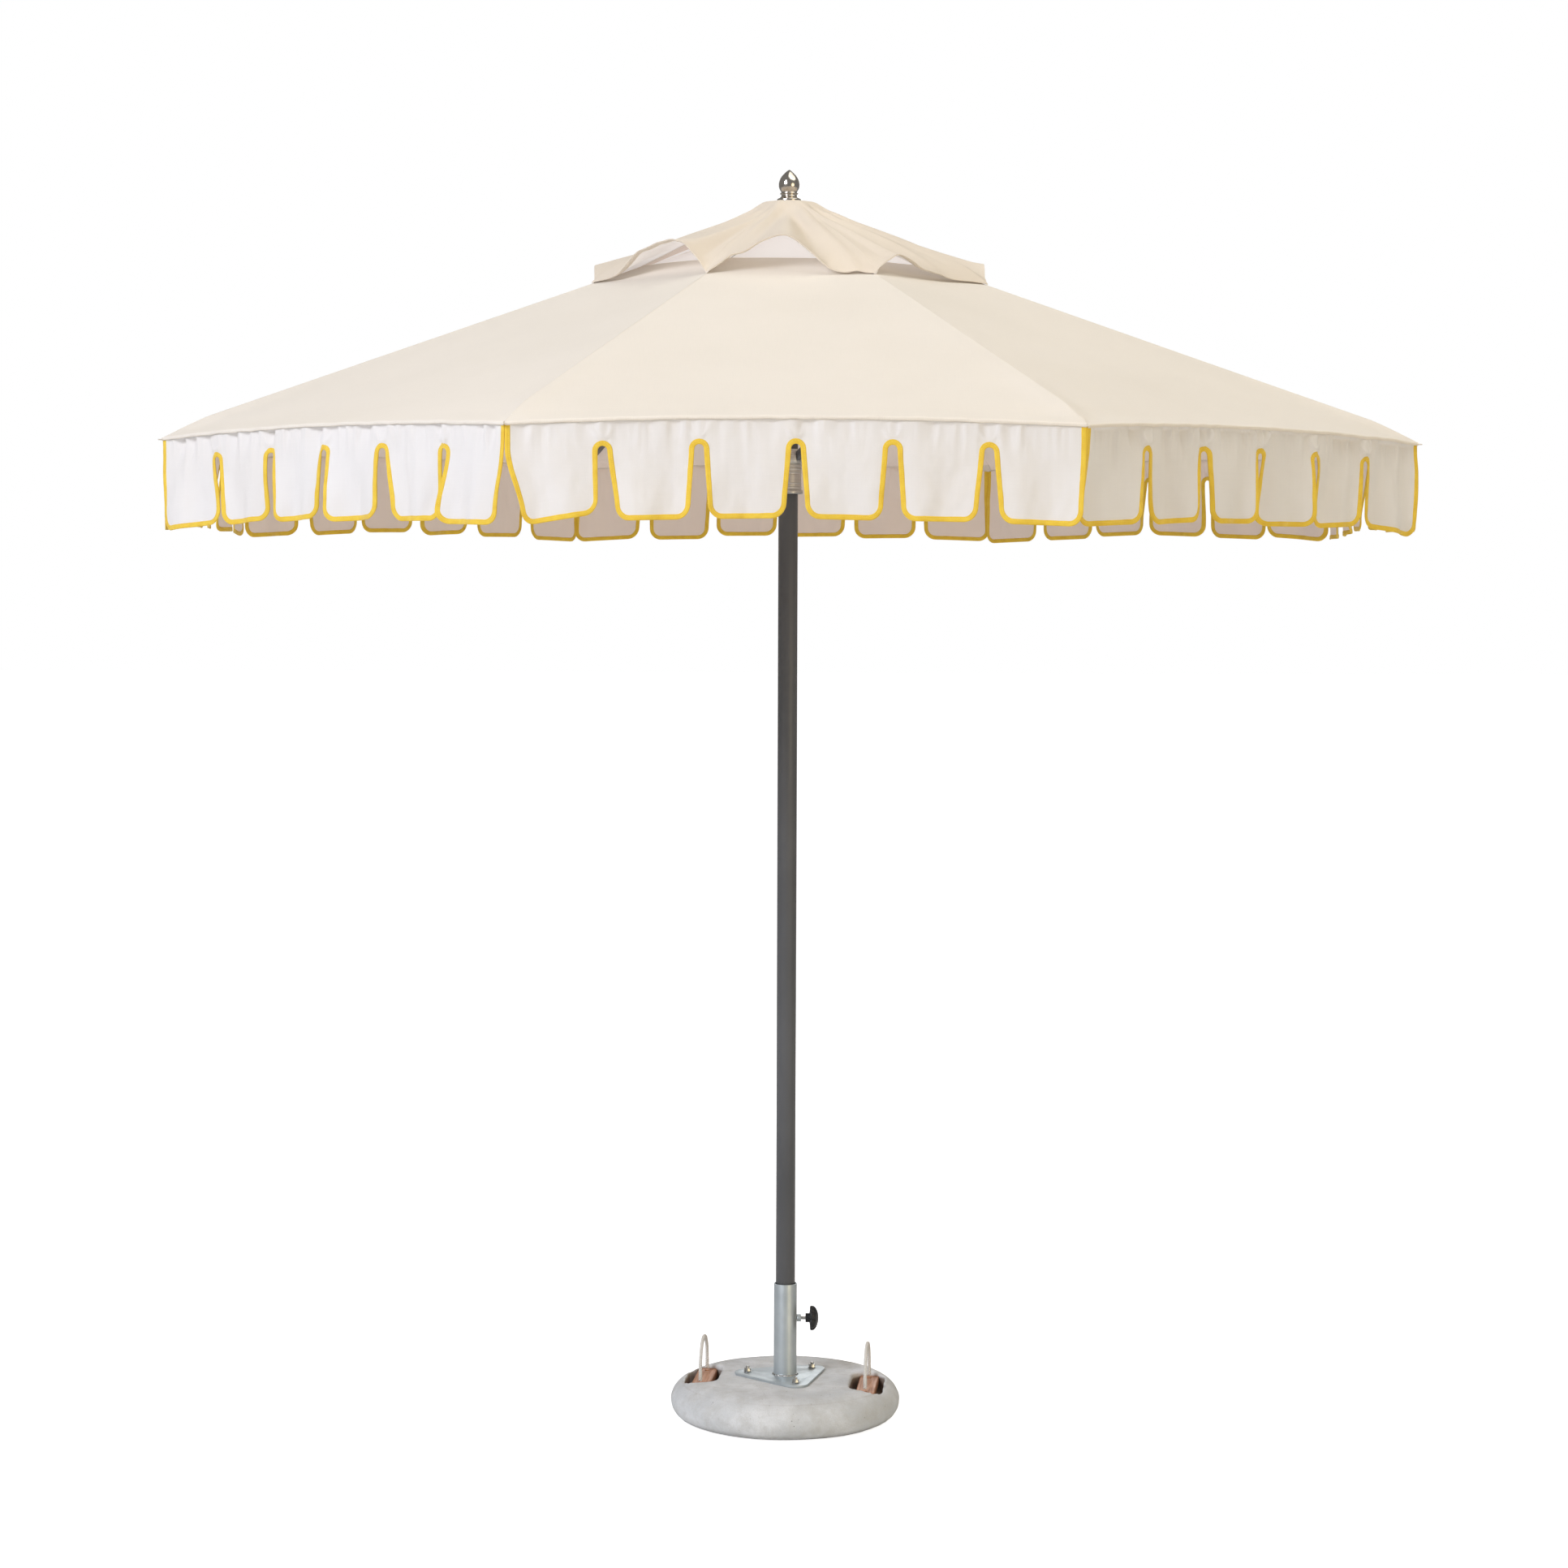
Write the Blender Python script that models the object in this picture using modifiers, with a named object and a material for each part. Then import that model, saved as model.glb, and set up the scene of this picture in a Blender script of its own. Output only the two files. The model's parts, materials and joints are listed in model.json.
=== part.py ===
"""Octagonal garden parasol with a vented top and a deep slotted valance, standing in a concrete base.

Metres, +Z up. The origin is the centre of the base on the ground, and the parasol's front faces -Y.
The parasol stands open. Ribs, struts, brackets, canopy panels and valances are numbered
anticlockwise, seen from above, from the front left rib.
"""

import math

import bmesh
import bpy
from mathutils import Matrix

# General fits and fineness
GAP = 0.0003  # left between neighbouring solids
SLIDE = 0.0004  # each side of a piece that turns in a slot
CUT_MARGIN = 0.001  # how far a cutter goes past what it cuts
TURN_STEPS = 24
POLE_STEPS = 32
SMALL_STEPS = 16
HOLE_STEPS = 12
PIVOT_STEPS = 8
SMOOTH_ANGLE = math.radians(35)

# Concrete base
BASE_RADIUS = 0.251
BASE_HEIGHT = 0.086
BASE_WAIST = 0.038  # height of the widest ring
BASE_TOP_ROUND = 0.060  # along the radius, from the flat top to the widest ring
BASE_FOOT_ROUND = 0.038
BASE_STEPS = 48
BASE_YAW = math.radians(-11)
BOLT_YAW = math.radians(-15)
HANDLE_TURN = math.radians(5)  # from a pocket's own radius to the line across its slat

# Rope handles, each on a wooden slat that crosses a pocket in the concrete
POCKET_DISTANCE = 0.182  # from the axis of the base to the middle of a pocket
POCKET_WIDTH = 0.072  # along the base's radius
POCKET_LENGTH = 0.170
POCKET_CORNER = 0.035
POCKET_DEPTH = 0.040
SLAT_WIDTH = 0.041
SLAT_LENGTH = 0.172
SLAT_THICKNESS = 0.018
SLAT_EDGE = 0.002
SLAT_SINK = 0.010  # slat top below the concrete's top
ROPE_RADIUS = 0.004
ROPE_SPACING = 0.126  # between the two legs of a loop
ROPE_HEIGHT = 0.090
ROPE_HOLE_RADIUS = 0.0055

# Socket: a tube welded to a three-cornered plate
PLATE_THICKNESS = 0.005
PLATE_CORNER = 0.028
BOLT_CIRCLE = 0.085
BOLT_RADIUS = 0.004
BOLT_HOLE_RADIUS = 0.0046
BOLT_DEPTH = 0.045
BOLT_STICK_OUT = 0.0125  # above the plate
BOLT_CHAMFER = 0.0008
WASHER_RADIUS = 0.008
WASHER_THICKNESS = 0.0016
NUT_RADIUS = 0.0075
NUT_HEIGHT = 0.0065
SOCKET_RADIUS = 0.0251
SOCKET_BORE = 0.0230
SOCKET_TOP = 0.293
WELD_SIZE = 0.004

# Clamp screw through the socket wall
CLAMP_HEIGHT = 0.216
CLAMP_RADIUS = 0.0037
CLAMP_HOLE_RADIUS = 0.0042
CLAMP_END = 0.060
CLAMP_NUT_LENGTH = 0.009
CLAMP_NUT_RADIUS = 0.0087
KNOB_START = 0.0444
KNOB_HUB_LENGTH = 0.010
KNOB_HUB_RADIUS = 0.010
KNOB_LENGTH = 0.0281
KNOB_RADIUS = 0.0262
KNOB_LOBES = 7
KNOB_LOBE_HEIGHT = 0.003
KNOB_EDGE = 0.003

# Pole
POLE_RADIUS = 0.021
POLE_BORE = 0.0194
POLE_TOP = 2.584
FOOT_FLANGE = 0.004
FOOT_SHANK = 0.030
FOOT_CHAMFER = 0.002

# Canopy frame
SIDES = 8
STEP = 2 * math.pi / SIDES
FIRST_RIB = math.radians(-112.5)
RIB_SLOPE = math.atan(0.36)
PIVOT_RADIUS = 0.050  # rib pivots and strut pivots, from the pole's axis
RIB_PIVOT_HEIGHT = 2.5729
RIB_LENGTH = 1.288
RIB_TAIL = 0.012
RIB_WIDTH = 0.014
RIB_DEPTH = 0.028
RIB_WALL = 0.0016
RIB_EDGE = 0.003
PIVOT_DROP = 0.011  # from the underside of a rib to the strut's pivot
STRUT_LENGTH = 0.640
STRUT_WIDTH = 0.010
STRUT_END = 0.008  # half the strut's depth
PIN_RADIUS = 0.003
PIN_STICK_OUT = 0.0022
PIN_HOLE_RADIUS = 0.0033
BRACKET_LENGTH = 0.030
BRACKET_WALL = 0.0027
BRACKET_PLATE = 0.0015
BRACKET_LIP = 0.006

# Crown hub
CROWN_RADIUS = 0.060
CROWN_BELOW = 0.016
CROWN_ABOVE = 0.020
CROWN_CORE = 0.030
CROWN_SLEEVE = 0.029
CROWN_SLEEVE_BOTTOM = 2.516
CROWN_NECK = 0.025
CROWN_PLATE_RADIUS = 0.052
CROWN_PLATE_BOTTOM = 2.622
CROWN_TOP = 2.632
STUD_RADIUS = 0.004
STUD_LENGTH = 0.030  # below the hub's top
STUD_CLEARANCE = 0.002

# Finial
FINIAL_BASE = 2.639
FINIAL_TOP = 2.707
FINIAL_RADIUS = 0.0226
FINIAL_BELLY_HEIGHT = 0.035  # above the finial's base
FINIAL_POINT = 0.9  # below 1, the dome rises to a blunt point
FINIAL_STEM = [  # (radius, height above the base), from the belly down over the neck to the collar
    (0.0205, 0.026),
    (0.0172, 0.020),
    (0.0162, 0.015),
    (0.0180, 0.011),
    (0.0238, 0.008),
    (0.0258, 0.005),
    (0.0258, 0.001),
    (0.0248, 0.0),
]

# Runner
RUNNER_BORE = 0.0225
RUNNER_RADIUS = 0.058
RUNNER_HALF_HEIGHT = 0.012
RUNNER_CORE = 0.038
RUNNER_COLLAR = 0.031
RUNNER_COLLAR_HEIGHT = 0.005  # above the slotted ring
RUNNER_SLEEVE = 0.0275
RUNNER_RING = 0.0295
RUNNER_RING_HEIGHT = 0.008
RUNNER_BOTTOM = 2.014
BUTTON_HEIGHT = 2.050
BUTTON_RADIUS = 0.006
BUTTON_TRAVEL = 0.004
BUTTON_LENGTH = 0.0082

# Fabric
FABRIC = 0.0012
FABRIC_LIFT = 0.017  # from the middle of a rib to the middle of the fabric
SEAM_GAP = 0.0005  # from a rib's plane to the edge of a panel
VENT_RADIUS = 0.330
KNEE_RADIUS = 1.270  # the rib ends here, and the fabric turns down to the rim
RIM_RADIUS = 1.360
RIM_HEIGHT = 2.107
CAP_HOLE_RADIUS = 0.013
CAP_FLAT_RADIUS = 0.056
CAP_RADIUS = 0.449
CAP_EDGE_HEIGHT = 2.475
CAP_TOP = 2.636
VALANCE_DROP = 0.182
VALANCE_START = 0.003  # below the rim
FLAPS = 6
FLAP_CORNER = 0.030
SLOT_START = 0.048
SLOT_TOP_HALF = 0.010
SLOT_FOOT_HALF = 0.0145

# Derived
PLATE_TOP = BASE_HEIGHT + GAP + PLATE_THICKNESS
SOCKET_FLOOR = PLATE_TOP + 0.0005
FOOT_BOTTOM = SOCKET_FLOOR + GAP
POLE_BOTTOM = FOOT_BOTTOM + FOOT_FLANGE + GAP
PIVOT_OFFSET = RIB_DEPTH / 2 + PIVOT_DROP
LINK_SLOPE = RIB_SLOPE + math.asin(PIVOT_OFFSET / STRUT_LENGTH)
STRUT_PIVOT_RADIUS = PIVOT_RADIUS + STRUT_LENGTH * math.cos(LINK_SLOPE)
STRUT_PIVOT_HEIGHT = RIB_PIVOT_HEIGHT - STRUT_LENGTH * math.sin(LINK_SLOPE)
RUNNER_PIVOT_HEIGHT = RIB_PIVOT_HEIGHT - 2 * STRUT_LENGTH * math.sin(LINK_SLOPE)
SIDE_HALF = RIM_RADIUS * math.sin(STEP / 2)


def clear_scene():
    for old in list(bpy.data.objects):
        bpy.data.objects.remove(old)


def collection(name):
    made = bpy.data.collections.new(name)
    bpy.context.scene.collection.children.link(made)
    return made


def material(name, colour, roughness, metallic=0.0):
    made = bpy.data.materials.new(name)
    made.use_nodes = True
    shader = made.node_tree.nodes["Principled BSDF"]
    shader.inputs["Base Color"].default_value = (*colour, 1.0)
    shader.inputs["Roughness"].default_value = roughness
    shader.inputs["Metallic"].default_value = metallic
    made.diffuse_color = (*colour, 1.0)
    return made


clear_scene()
PARTS = collection("garden_parasol")
CUTTERS = collection("cutters")
CONCRETE = material("concrete", (0.56, 0.56, 0.54), 0.85)
WOOD = material("wood", (0.38, 0.16, 0.07), 0.6)
ROPE = material("rope", (0.72, 0.70, 0.66), 0.8)
ZINC = material("zinc", (0.47, 0.52, 0.54), 0.4, 1.0)
BLACK = material("black_plastic", (0.02, 0.02, 0.02), 0.45)
CHARCOAL = material("charcoal_paint", (0.045, 0.045, 0.048), 0.4)
STEEL = material("steel", (0.60, 0.60, 0.60), 0.25, 1.0)
NICKEL = material("nickel", (0.66, 0.62, 0.56), 0.12, 1.0)
CANVAS = material("canvas", (0.82, 0.76, 0.66), 0.9)


# ---- Tools ----


def mesh_from(name, fill):
    """A mesh of what fill(shape) adds to an empty bmesh."""
    shape = bmesh.new()
    fill(shape)
    bmesh.ops.recalc_face_normals(shape, faces=shape.faces)
    made = bpy.data.meshes.new(name)
    shape.to_mesh(made)
    shape.free()
    return made


def put(name, data, skin, at=(0, 0, 0), turn=(0, 0, 0)):
    """An object of the parts collection, placed by its location and rotation."""
    made = bpy.data.objects.new(name, data)
    made.location = at
    made.rotation_euler = turn
    if not data.materials:
        data.materials.append(skin)
    PARTS.objects.link(made)
    return made


def put_cutter(name, data, at=(0, 0, 0), turn=(0, 0, 0)):
    made = bpy.data.objects.new(name, data)
    made.location = at
    made.rotation_euler = turn
    made.hide_render = True
    made.display_type = "WIRE"
    CUTTERS.objects.link(made)
    return made


def combine(target, other, operation="DIFFERENCE"):
    """A Boolean on target with other, which stays as a cutter."""
    step = target.modifiers.new(other.name, "BOOLEAN")
    step.operation = operation
    step.solver = "EXACT"
    step.object = other
    return target


def finished_mesh(name, source):
    """The evaluated mesh of source, for copies to share. Source and its cutters are then removed."""
    graph = bpy.context.evaluated_depsgraph_get()
    made = bpy.data.meshes.new_from_object(source.evaluated_get(graph))
    made.name = name
    made.shade_smooth()
    made.set_sharp_from_angle(angle=SMOOTH_ANGLE)
    for step in list(source.modifiers):
        if step.type == "BOOLEAN":
            bpy.data.objects.remove(step.object)
    bpy.data.objects.remove(source)
    return made


def bevel(target, width, segments=2):
    step = target.modifiers.new("bevel", "BEVEL")
    step.width = width
    step.segments = segments
    step.limit_method = "ANGLE"
    return target


def arc(centre, radius, start, end, points):
    """Points on an arc in a plane, from angle start to angle end in degrees, both ends included."""
    turns = (math.radians(start + (end - start) * i / (points - 1)) for i in range(points))
    return [(centre[0] + radius * math.cos(t), centre[1] + radius * math.sin(t)) for t in turns]


def profile_mesh(name, profile, closed):
    made = bpy.data.meshes.new(name)
    edges = [(i, i + 1) for i in range(len(profile) - 1)]
    if closed:
        edges.append((len(profile) - 1, 0))
    made.from_pydata([(r, 0, z) for r, z in profile], edges, [])
    return made


def screw(target, steps):
    """Turns target's profile a full turn about its own Z."""
    step = target.modifiers.new("turn", "SCREW")
    step.axis = "Z"
    step.angle = 2 * math.pi
    step.steps = steps
    step.render_steps = steps
    step.use_merge_vertices = True
    step.merge_threshold = 0.00001
    step.use_smooth_shade = True
    return target


def turned(name, profile, skin, steps=TURN_STEPS, closed=False, at=(0, 0, 0)):
    """A turned piece. Its profile of (radius, height) runs down the outer side, top to bottom."""
    return screw(put(name, profile_mesh(name, profile, closed), skin, at=at), steps)


def add_box(shape, size, centre=(0, 0, 0)):
    place = Matrix.Translation(centre) @ Matrix.Diagonal((*size, 1))
    bmesh.ops.create_cube(shape, size=1, matrix=place)


def add_cylinder(shape, radius, length, steps, place=Matrix()):
    """A cylinder along the local Z of place, with its middle there."""
    bmesh.ops.create_cone(
        shape,
        cap_ends=True,
        segments=steps,
        radius1=radius,
        radius2=radius,
        depth=length,
        matrix=place,
    )


def add_disc_hull(shape, centres, radius, low, high, steps):
    """An upright slab from low to high whose outline runs tightly round discs at the given centres."""
    for x, y in centres:
        middle = Matrix.Translation((x, y, (low + high) / 2))
        add_cylinder(shape, radius, high - low, steps, middle)
    hull = bmesh.ops.convex_hull(shape, input=shape.verts)
    inside = [v for v in hull["geom_interior"] if isinstance(v, bmesh.types.BMVert)]
    bmesh.ops.delete(shape, geom=inside, context="VERTS")
    unused = [f for f in hull["geom_unused"] if isinstance(f, bmesh.types.BMFace) and f.is_valid]
    bmesh.ops.delete(shape, geom=unused, context="FACES")
    bmesh.ops.dissolve_limit(shape, angle_limit=0.001, verts=shape.verts, edges=shape.edges)


def around(angle, distance, height=0.0):
    return (distance * math.cos(angle), distance * math.sin(angle), height)


def across(x, y, z):
    """A place whose local Z runs along world Y."""
    return Matrix.Translation((x, y, z)) @ Matrix.Rotation(math.pi / 2, 4, "X")


def along(x, y, z):
    """A place whose local Z runs along world X."""
    return Matrix.Translation((x, y, z)) @ Matrix.Rotation(math.pi / 2, 4, "Y")


# ---- Concrete base and its handles ----


def handle_angles():
    return (BASE_YAW + math.pi, BASE_YAW)


def bolt_angles():
    return tuple(BOLT_YAW + math.pi + i * 2 * math.pi / 3 for i in range(3))


def pocket_corners():
    x = POCKET_WIDTH / 2 - POCKET_CORNER
    y = POCKET_LENGTH / 2 - POCKET_CORNER
    return [(x, y), (-x, y), (-x, -y), (x, -y)]


def concrete_base():
    def rounding(reach, height, start, end, points):
        circle = arc((0, 0), 1, start, end, points)
        return [(BASE_RADIUS - reach + reach * x, BASE_WAIST + height * y) for x, y in circle]

    top = rounding(BASE_TOP_ROUND, BASE_HEIGHT - BASE_WAIST, 90, 0, 8)
    foot = rounding(BASE_FOOT_ROUND, BASE_WAIST, 0, -90, 6)
    profile = [(0, BASE_HEIGHT), *top, *foot[1:], (0, 0)]
    base = turned("concrete_base", profile, CONCRETE, BASE_STEPS)
    slat_top = BASE_HEIGHT - SLAT_SINK
    slat_size = (SLAT_WIDTH + 2 * GAP, SLAT_LENGTH + 2 * GAP, SLAT_THICKNESS + 2 * GAP)
    for number, angle in enumerate(handle_angles(), 1):
        pocket = mesh_from(
            "pocket",
            lambda shape: add_disc_hull(
                shape, pocket_corners(), POCKET_CORNER, -POCKET_DEPTH, POCKET_DEPTH, SMALL_STEPS
            ),
        )
        place = around(angle, POCKET_DISTANCE, BASE_HEIGHT)
        combine(base, put_cutter(f"pocket_{number}", pocket, place, (0, 0, angle + HANDLE_TURN)))
        seat = mesh_from("seat", lambda shape: add_box(shape, slat_size))
        place = around(angle, POCKET_DISTANCE, slat_top - SLAT_THICKNESS / 2)
        combine(base, put_cutter(f"slat_seat_{number}", seat, place, (0, 0, angle + HANDLE_TURN)))

    def bolt_holes(shape):
        for angle in bolt_angles():
            place = Matrix.Translation(around(angle, BOLT_CIRCLE, BASE_HEIGHT))
            add_cylinder(shape, BOLT_RADIUS + GAP, 2 * (BOLT_DEPTH + GAP), HOLE_STEPS, place)

    combine(base, put_cutter("bolt_holes", mesh_from("bolt_holes", bolt_holes)))


def handle_slats():
    size = (SLAT_WIDTH, SLAT_LENGTH, SLAT_THICKNESS)
    slat = put("slat", mesh_from("slat", lambda shape: add_box(shape, size)), WOOD)
    bevel(slat, SLAT_EDGE)

    def rope_holes(shape):
        for side in (-1, 1):
            place = Matrix.Translation((0, side * ROPE_SPACING / 2, 0))
            add_cylinder(shape, ROPE_HOLE_RADIUS, 2 * SLAT_THICKNESS, HOLE_STEPS, place)

    combine(slat, put_cutter("rope_holes", mesh_from("rope_holes", rope_holes)))
    shared = finished_mesh("handle_slat", slat)
    height = BASE_HEIGHT - SLAT_SINK - SLAT_THICKNESS / 2
    for number, angle in enumerate(handle_angles(), 1):
        place = around(angle, POCKET_DISTANCE, height)
        put(f"handle_slat_{number}", shared, WOOD, place, (0, 0, angle + HANDLE_TURN))


def handle_ropes():
    """Each loop swings about the line through the feet of its two legs, just above the slat."""
    half = ROPE_SPACING / 2
    path = [(-half, 0), *arc((0, ROPE_HEIGHT - ROPE_RADIUS - half), half, 180, 0, 11), (half, 0)]
    loop = bpy.data.curves.new("handle_rope", "CURVE")
    loop.dimensions = "3D"
    spline = loop.splines.new("POLY")
    spline.points.add(len(path) - 1)
    for point, (y, z) in zip(spline.points, path):
        point.co = (0, y, z, 1)
    loop.bevel_depth = ROPE_RADIUS
    loop.bevel_resolution = 2
    loop.use_fill_caps = True
    height = BASE_HEIGHT - SLAT_SINK + ROPE_RADIUS + GAP
    for number, angle in enumerate(handle_angles(), 1):
        place = around(angle, POCKET_DISTANCE, height)
        put(f"handle_rope_{number}", loop, ROPE, place, (0, 0, angle + HANDLE_TURN))


# ---- Socket and clamp ----


def pole_socket():
    weld = SOCKET_RADIUS + WELD_SIZE
    profile = [
        (0, SOCKET_FLOOR),
        (SOCKET_BORE, SOCKET_FLOOR),
        (SOCKET_BORE, SOCKET_TOP),
        (SOCKET_RADIUS, SOCKET_TOP),
        (SOCKET_RADIUS, PLATE_TOP + WELD_SIZE),
        (weld, PLATE_TOP),
        (weld, PLATE_TOP - PLATE_THICKNESS / 2),
        (0, PLATE_TOP - PLATE_THICKNESS / 2),
    ]
    socket = turned("pole_socket", profile, ZINC, POLE_STEPS)
    corners = [around(angle, BOLT_CIRCLE)[:2] for angle in bolt_angles()]
    plate = mesh_from(
        "socket_plate",
        lambda shape: add_disc_hull(
            shape, corners, PLATE_CORNER, PLATE_TOP - PLATE_THICKNESS, PLATE_TOP, 24
        ),
    )
    combine(socket, put_cutter("socket_plate", plate), "UNION")

    def holes(shape):
        for x, y in corners:
            place = Matrix.Translation((x, y, PLATE_TOP))
            add_cylinder(shape, BOLT_HOLE_RADIUS, 4 * PLATE_THICKNESS, HOLE_STEPS, place)
        place = along(SOCKET_RADIUS, 0, CLAMP_HEIGHT)
        add_cylinder(shape, CLAMP_HOLE_RADIUS, SOCKET_RADIUS, HOLE_STEPS, place)

    combine(socket, put_cutter("socket_holes", mesh_from("socket_holes", holes)))


def base_bolts():
    """Each is an anchor stud with its washer and nut. The stud goes down into the concrete."""
    profile = [
        (0, BOLT_STICK_OUT),
        (BOLT_RADIUS - BOLT_CHAMFER, BOLT_STICK_OUT),
        (BOLT_RADIUS, BOLT_STICK_OUT - BOLT_CHAMFER),
        (BOLT_RADIUS, WASHER_THICKNESS),
        (WASHER_RADIUS, WASHER_THICKNESS),
        (WASHER_RADIUS, 0),
        (BOLT_RADIUS, 0),
        (BOLT_RADIUS, -BOLT_DEPTH),
        (0, -BOLT_DEPTH),
    ]
    bolt = turned("bolt", profile, ZINC, SMALL_STEPS)
    overlap = WASHER_THICKNESS / 2
    height = NUT_HEIGHT + overlap
    place = Matrix.Translation((0, 0, WASHER_THICKNESS - overlap + height / 2))
    hexagon = mesh_from("hexagon", lambda shape: add_cylinder(shape, NUT_RADIUS, height, 6, place))
    combine(bolt, put_cutter("hexagon", hexagon), "UNION")
    shared = finished_mesh("base_bolt", bolt)
    for number, angle in enumerate(bolt_angles(), 1):
        place = around(angle, BOLT_CIRCLE, PLATE_TOP + GAP)
        put(f"base_bolt_{number}", shared, ZINC, place, (0, 0, angle))


def clamp_nut():
    middle = SOCKET_RADIUS + GAP + CLAMP_NUT_LENGTH / 2
    hexagon = mesh_from(
        "clamp_nut",
        lambda shape: add_cylinder(
            shape, CLAMP_NUT_RADIUS, CLAMP_NUT_LENGTH, 6, along(0, 0, 0)
        ),
    )
    nut = put("clamp_nut", hexagon, ZINC, (middle, 0, CLAMP_HEIGHT))
    bore = mesh_from(
        "clamp_nut_bore",
        lambda shape: add_cylinder(
            shape, CLAMP_HOLE_RADIUS, 2 * CLAMP_NUT_LENGTH, HOLE_STEPS, along(0, 0, 0)
        ),
    )
    combine(nut, put_cutter("clamp_nut_bore", bore, (middle, 0, CLAMP_HEIGHT)))


def clamp_screw():
    start = POLE_RADIUS + GAP
    rod = mesh_from(
        "clamp_screw",
        lambda shape: add_cylinder(
            shape, CLAMP_RADIUS, CLAMP_END - start, HOLE_STEPS, along(0, 0, 0)
        ),
    )
    put("clamp_screw", rod, ZINC, ((start + CLAMP_END) / 2, 0, CLAMP_HEIGHT))


def lobed_outline(points_per_lobe=6):
    count = KNOB_LOBES * points_per_lobe
    turns = [2 * math.pi * i / count for i in range(count)]
    radii = [KNOB_RADIUS + KNOB_LOBE_HEIGHT * math.cos(KNOB_LOBES * t) for t in turns]
    return [(r * math.cos(t), r * math.sin(t)) for r, t in zip(radii, turns)]


def clamp_knob():
    """A lobed hand knob with a blind bore for the screw. It turns about world X."""
    thickness = KNOB_LENGTH - KNOB_HUB_LENGTH

    def grip(shape):
        face = shape.faces.new([shape.verts.new((0, y, z)) for y, z in lobed_outline()])
        pushed = bmesh.ops.extrude_face_region(shape, geom=[face])
        moved = [v for v in pushed["geom"] if isinstance(v, bmesh.types.BMVert)]
        bmesh.ops.translate(shape, verts=moved, vec=(thickness, 0, 0))

    start = KNOB_START + KNOB_HUB_LENGTH
    knob = put("clamp_knob", mesh_from("clamp_knob", grip), BLACK, (start, 0, CLAMP_HEIGHT))
    bevel(knob, KNOB_EDGE)
    overlap = KNOB_HUB_LENGTH * 0.4
    hub = mesh_from(
        "knob_hub",
        lambda shape: add_cylinder(
            shape, KNOB_HUB_RADIUS, KNOB_HUB_LENGTH + overlap, SMALL_STEPS, along(0, 0, 0)
        ),
    )
    middle = (start - (KNOB_HUB_LENGTH - overlap) / 2, 0, CLAMP_HEIGHT)
    combine(knob, put_cutter("knob_hub", hub, middle), "UNION")
    depth = CLAMP_END + GAP
    bore = mesh_from(
        "knob_bore",
        lambda shape: add_cylinder(shape, CLAMP_HOLE_RADIUS, depth, HOLE_STEPS, along(0, 0, 0)),
    )
    combine(knob, put_cutter("knob_bore", bore, (depth / 2, 0, CLAMP_HEIGHT)))


# ---- Pole, crown and finial ----


def pole_foot():
    flange_top = FOOT_BOTTOM + FOOT_FLANGE
    shank = POLE_BORE - GAP
    profile = [
        (0, flange_top + FOOT_SHANK),
        (shank - FOOT_CHAMFER, flange_top + FOOT_SHANK),
        (shank, flange_top + FOOT_SHANK - FOOT_CHAMFER),
        (shank, flange_top),
        (POLE_RADIUS - GAP, flange_top),
        (POLE_RADIUS - GAP, FOOT_BOTTOM),
        (0, FOOT_BOTTOM),
    ]
    turned("pole_foot", profile, BLACK, SMALL_STEPS)


def pole():
    profile = [
        (POLE_BORE, POLE_TOP),
        (POLE_RADIUS, POLE_TOP),
        (POLE_RADIUS, POLE_BOTTOM),
        (POLE_BORE, POLE_BOTTOM),
    ]
    turned("pole", profile, CHARCOAL, POLE_STEPS, closed=True)


def radial_slots(shape, inner, outer, width, low, high):
    """One box for each rib azimuth, from radius inner to radius outer."""
    for number in range(SIDES):
        size = Matrix.Diagonal((outer - inner, width, high - low, 1))
        middle = Matrix.Translation(((inner + outer) / 2, 0, (low + high) / 2))
        turn = Matrix.Rotation(rib_angle(number + 1), 4, "Z")
        bmesh.ops.create_cube(shape, size=1, matrix=turn @ middle @ size)


def pivot_holes(shape, length, height):
    """One hole across each rib azimuth, through the pivot circle."""
    for number in range(SIDES):
        turn = Matrix.Rotation(rib_angle(number + 1), 4, "Z")
        place = turn @ across(PIVOT_RADIUS, 0, height)
        add_cylinder(shape, PIN_HOLE_RADIUS, length, PIVOT_STEPS, place)


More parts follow.
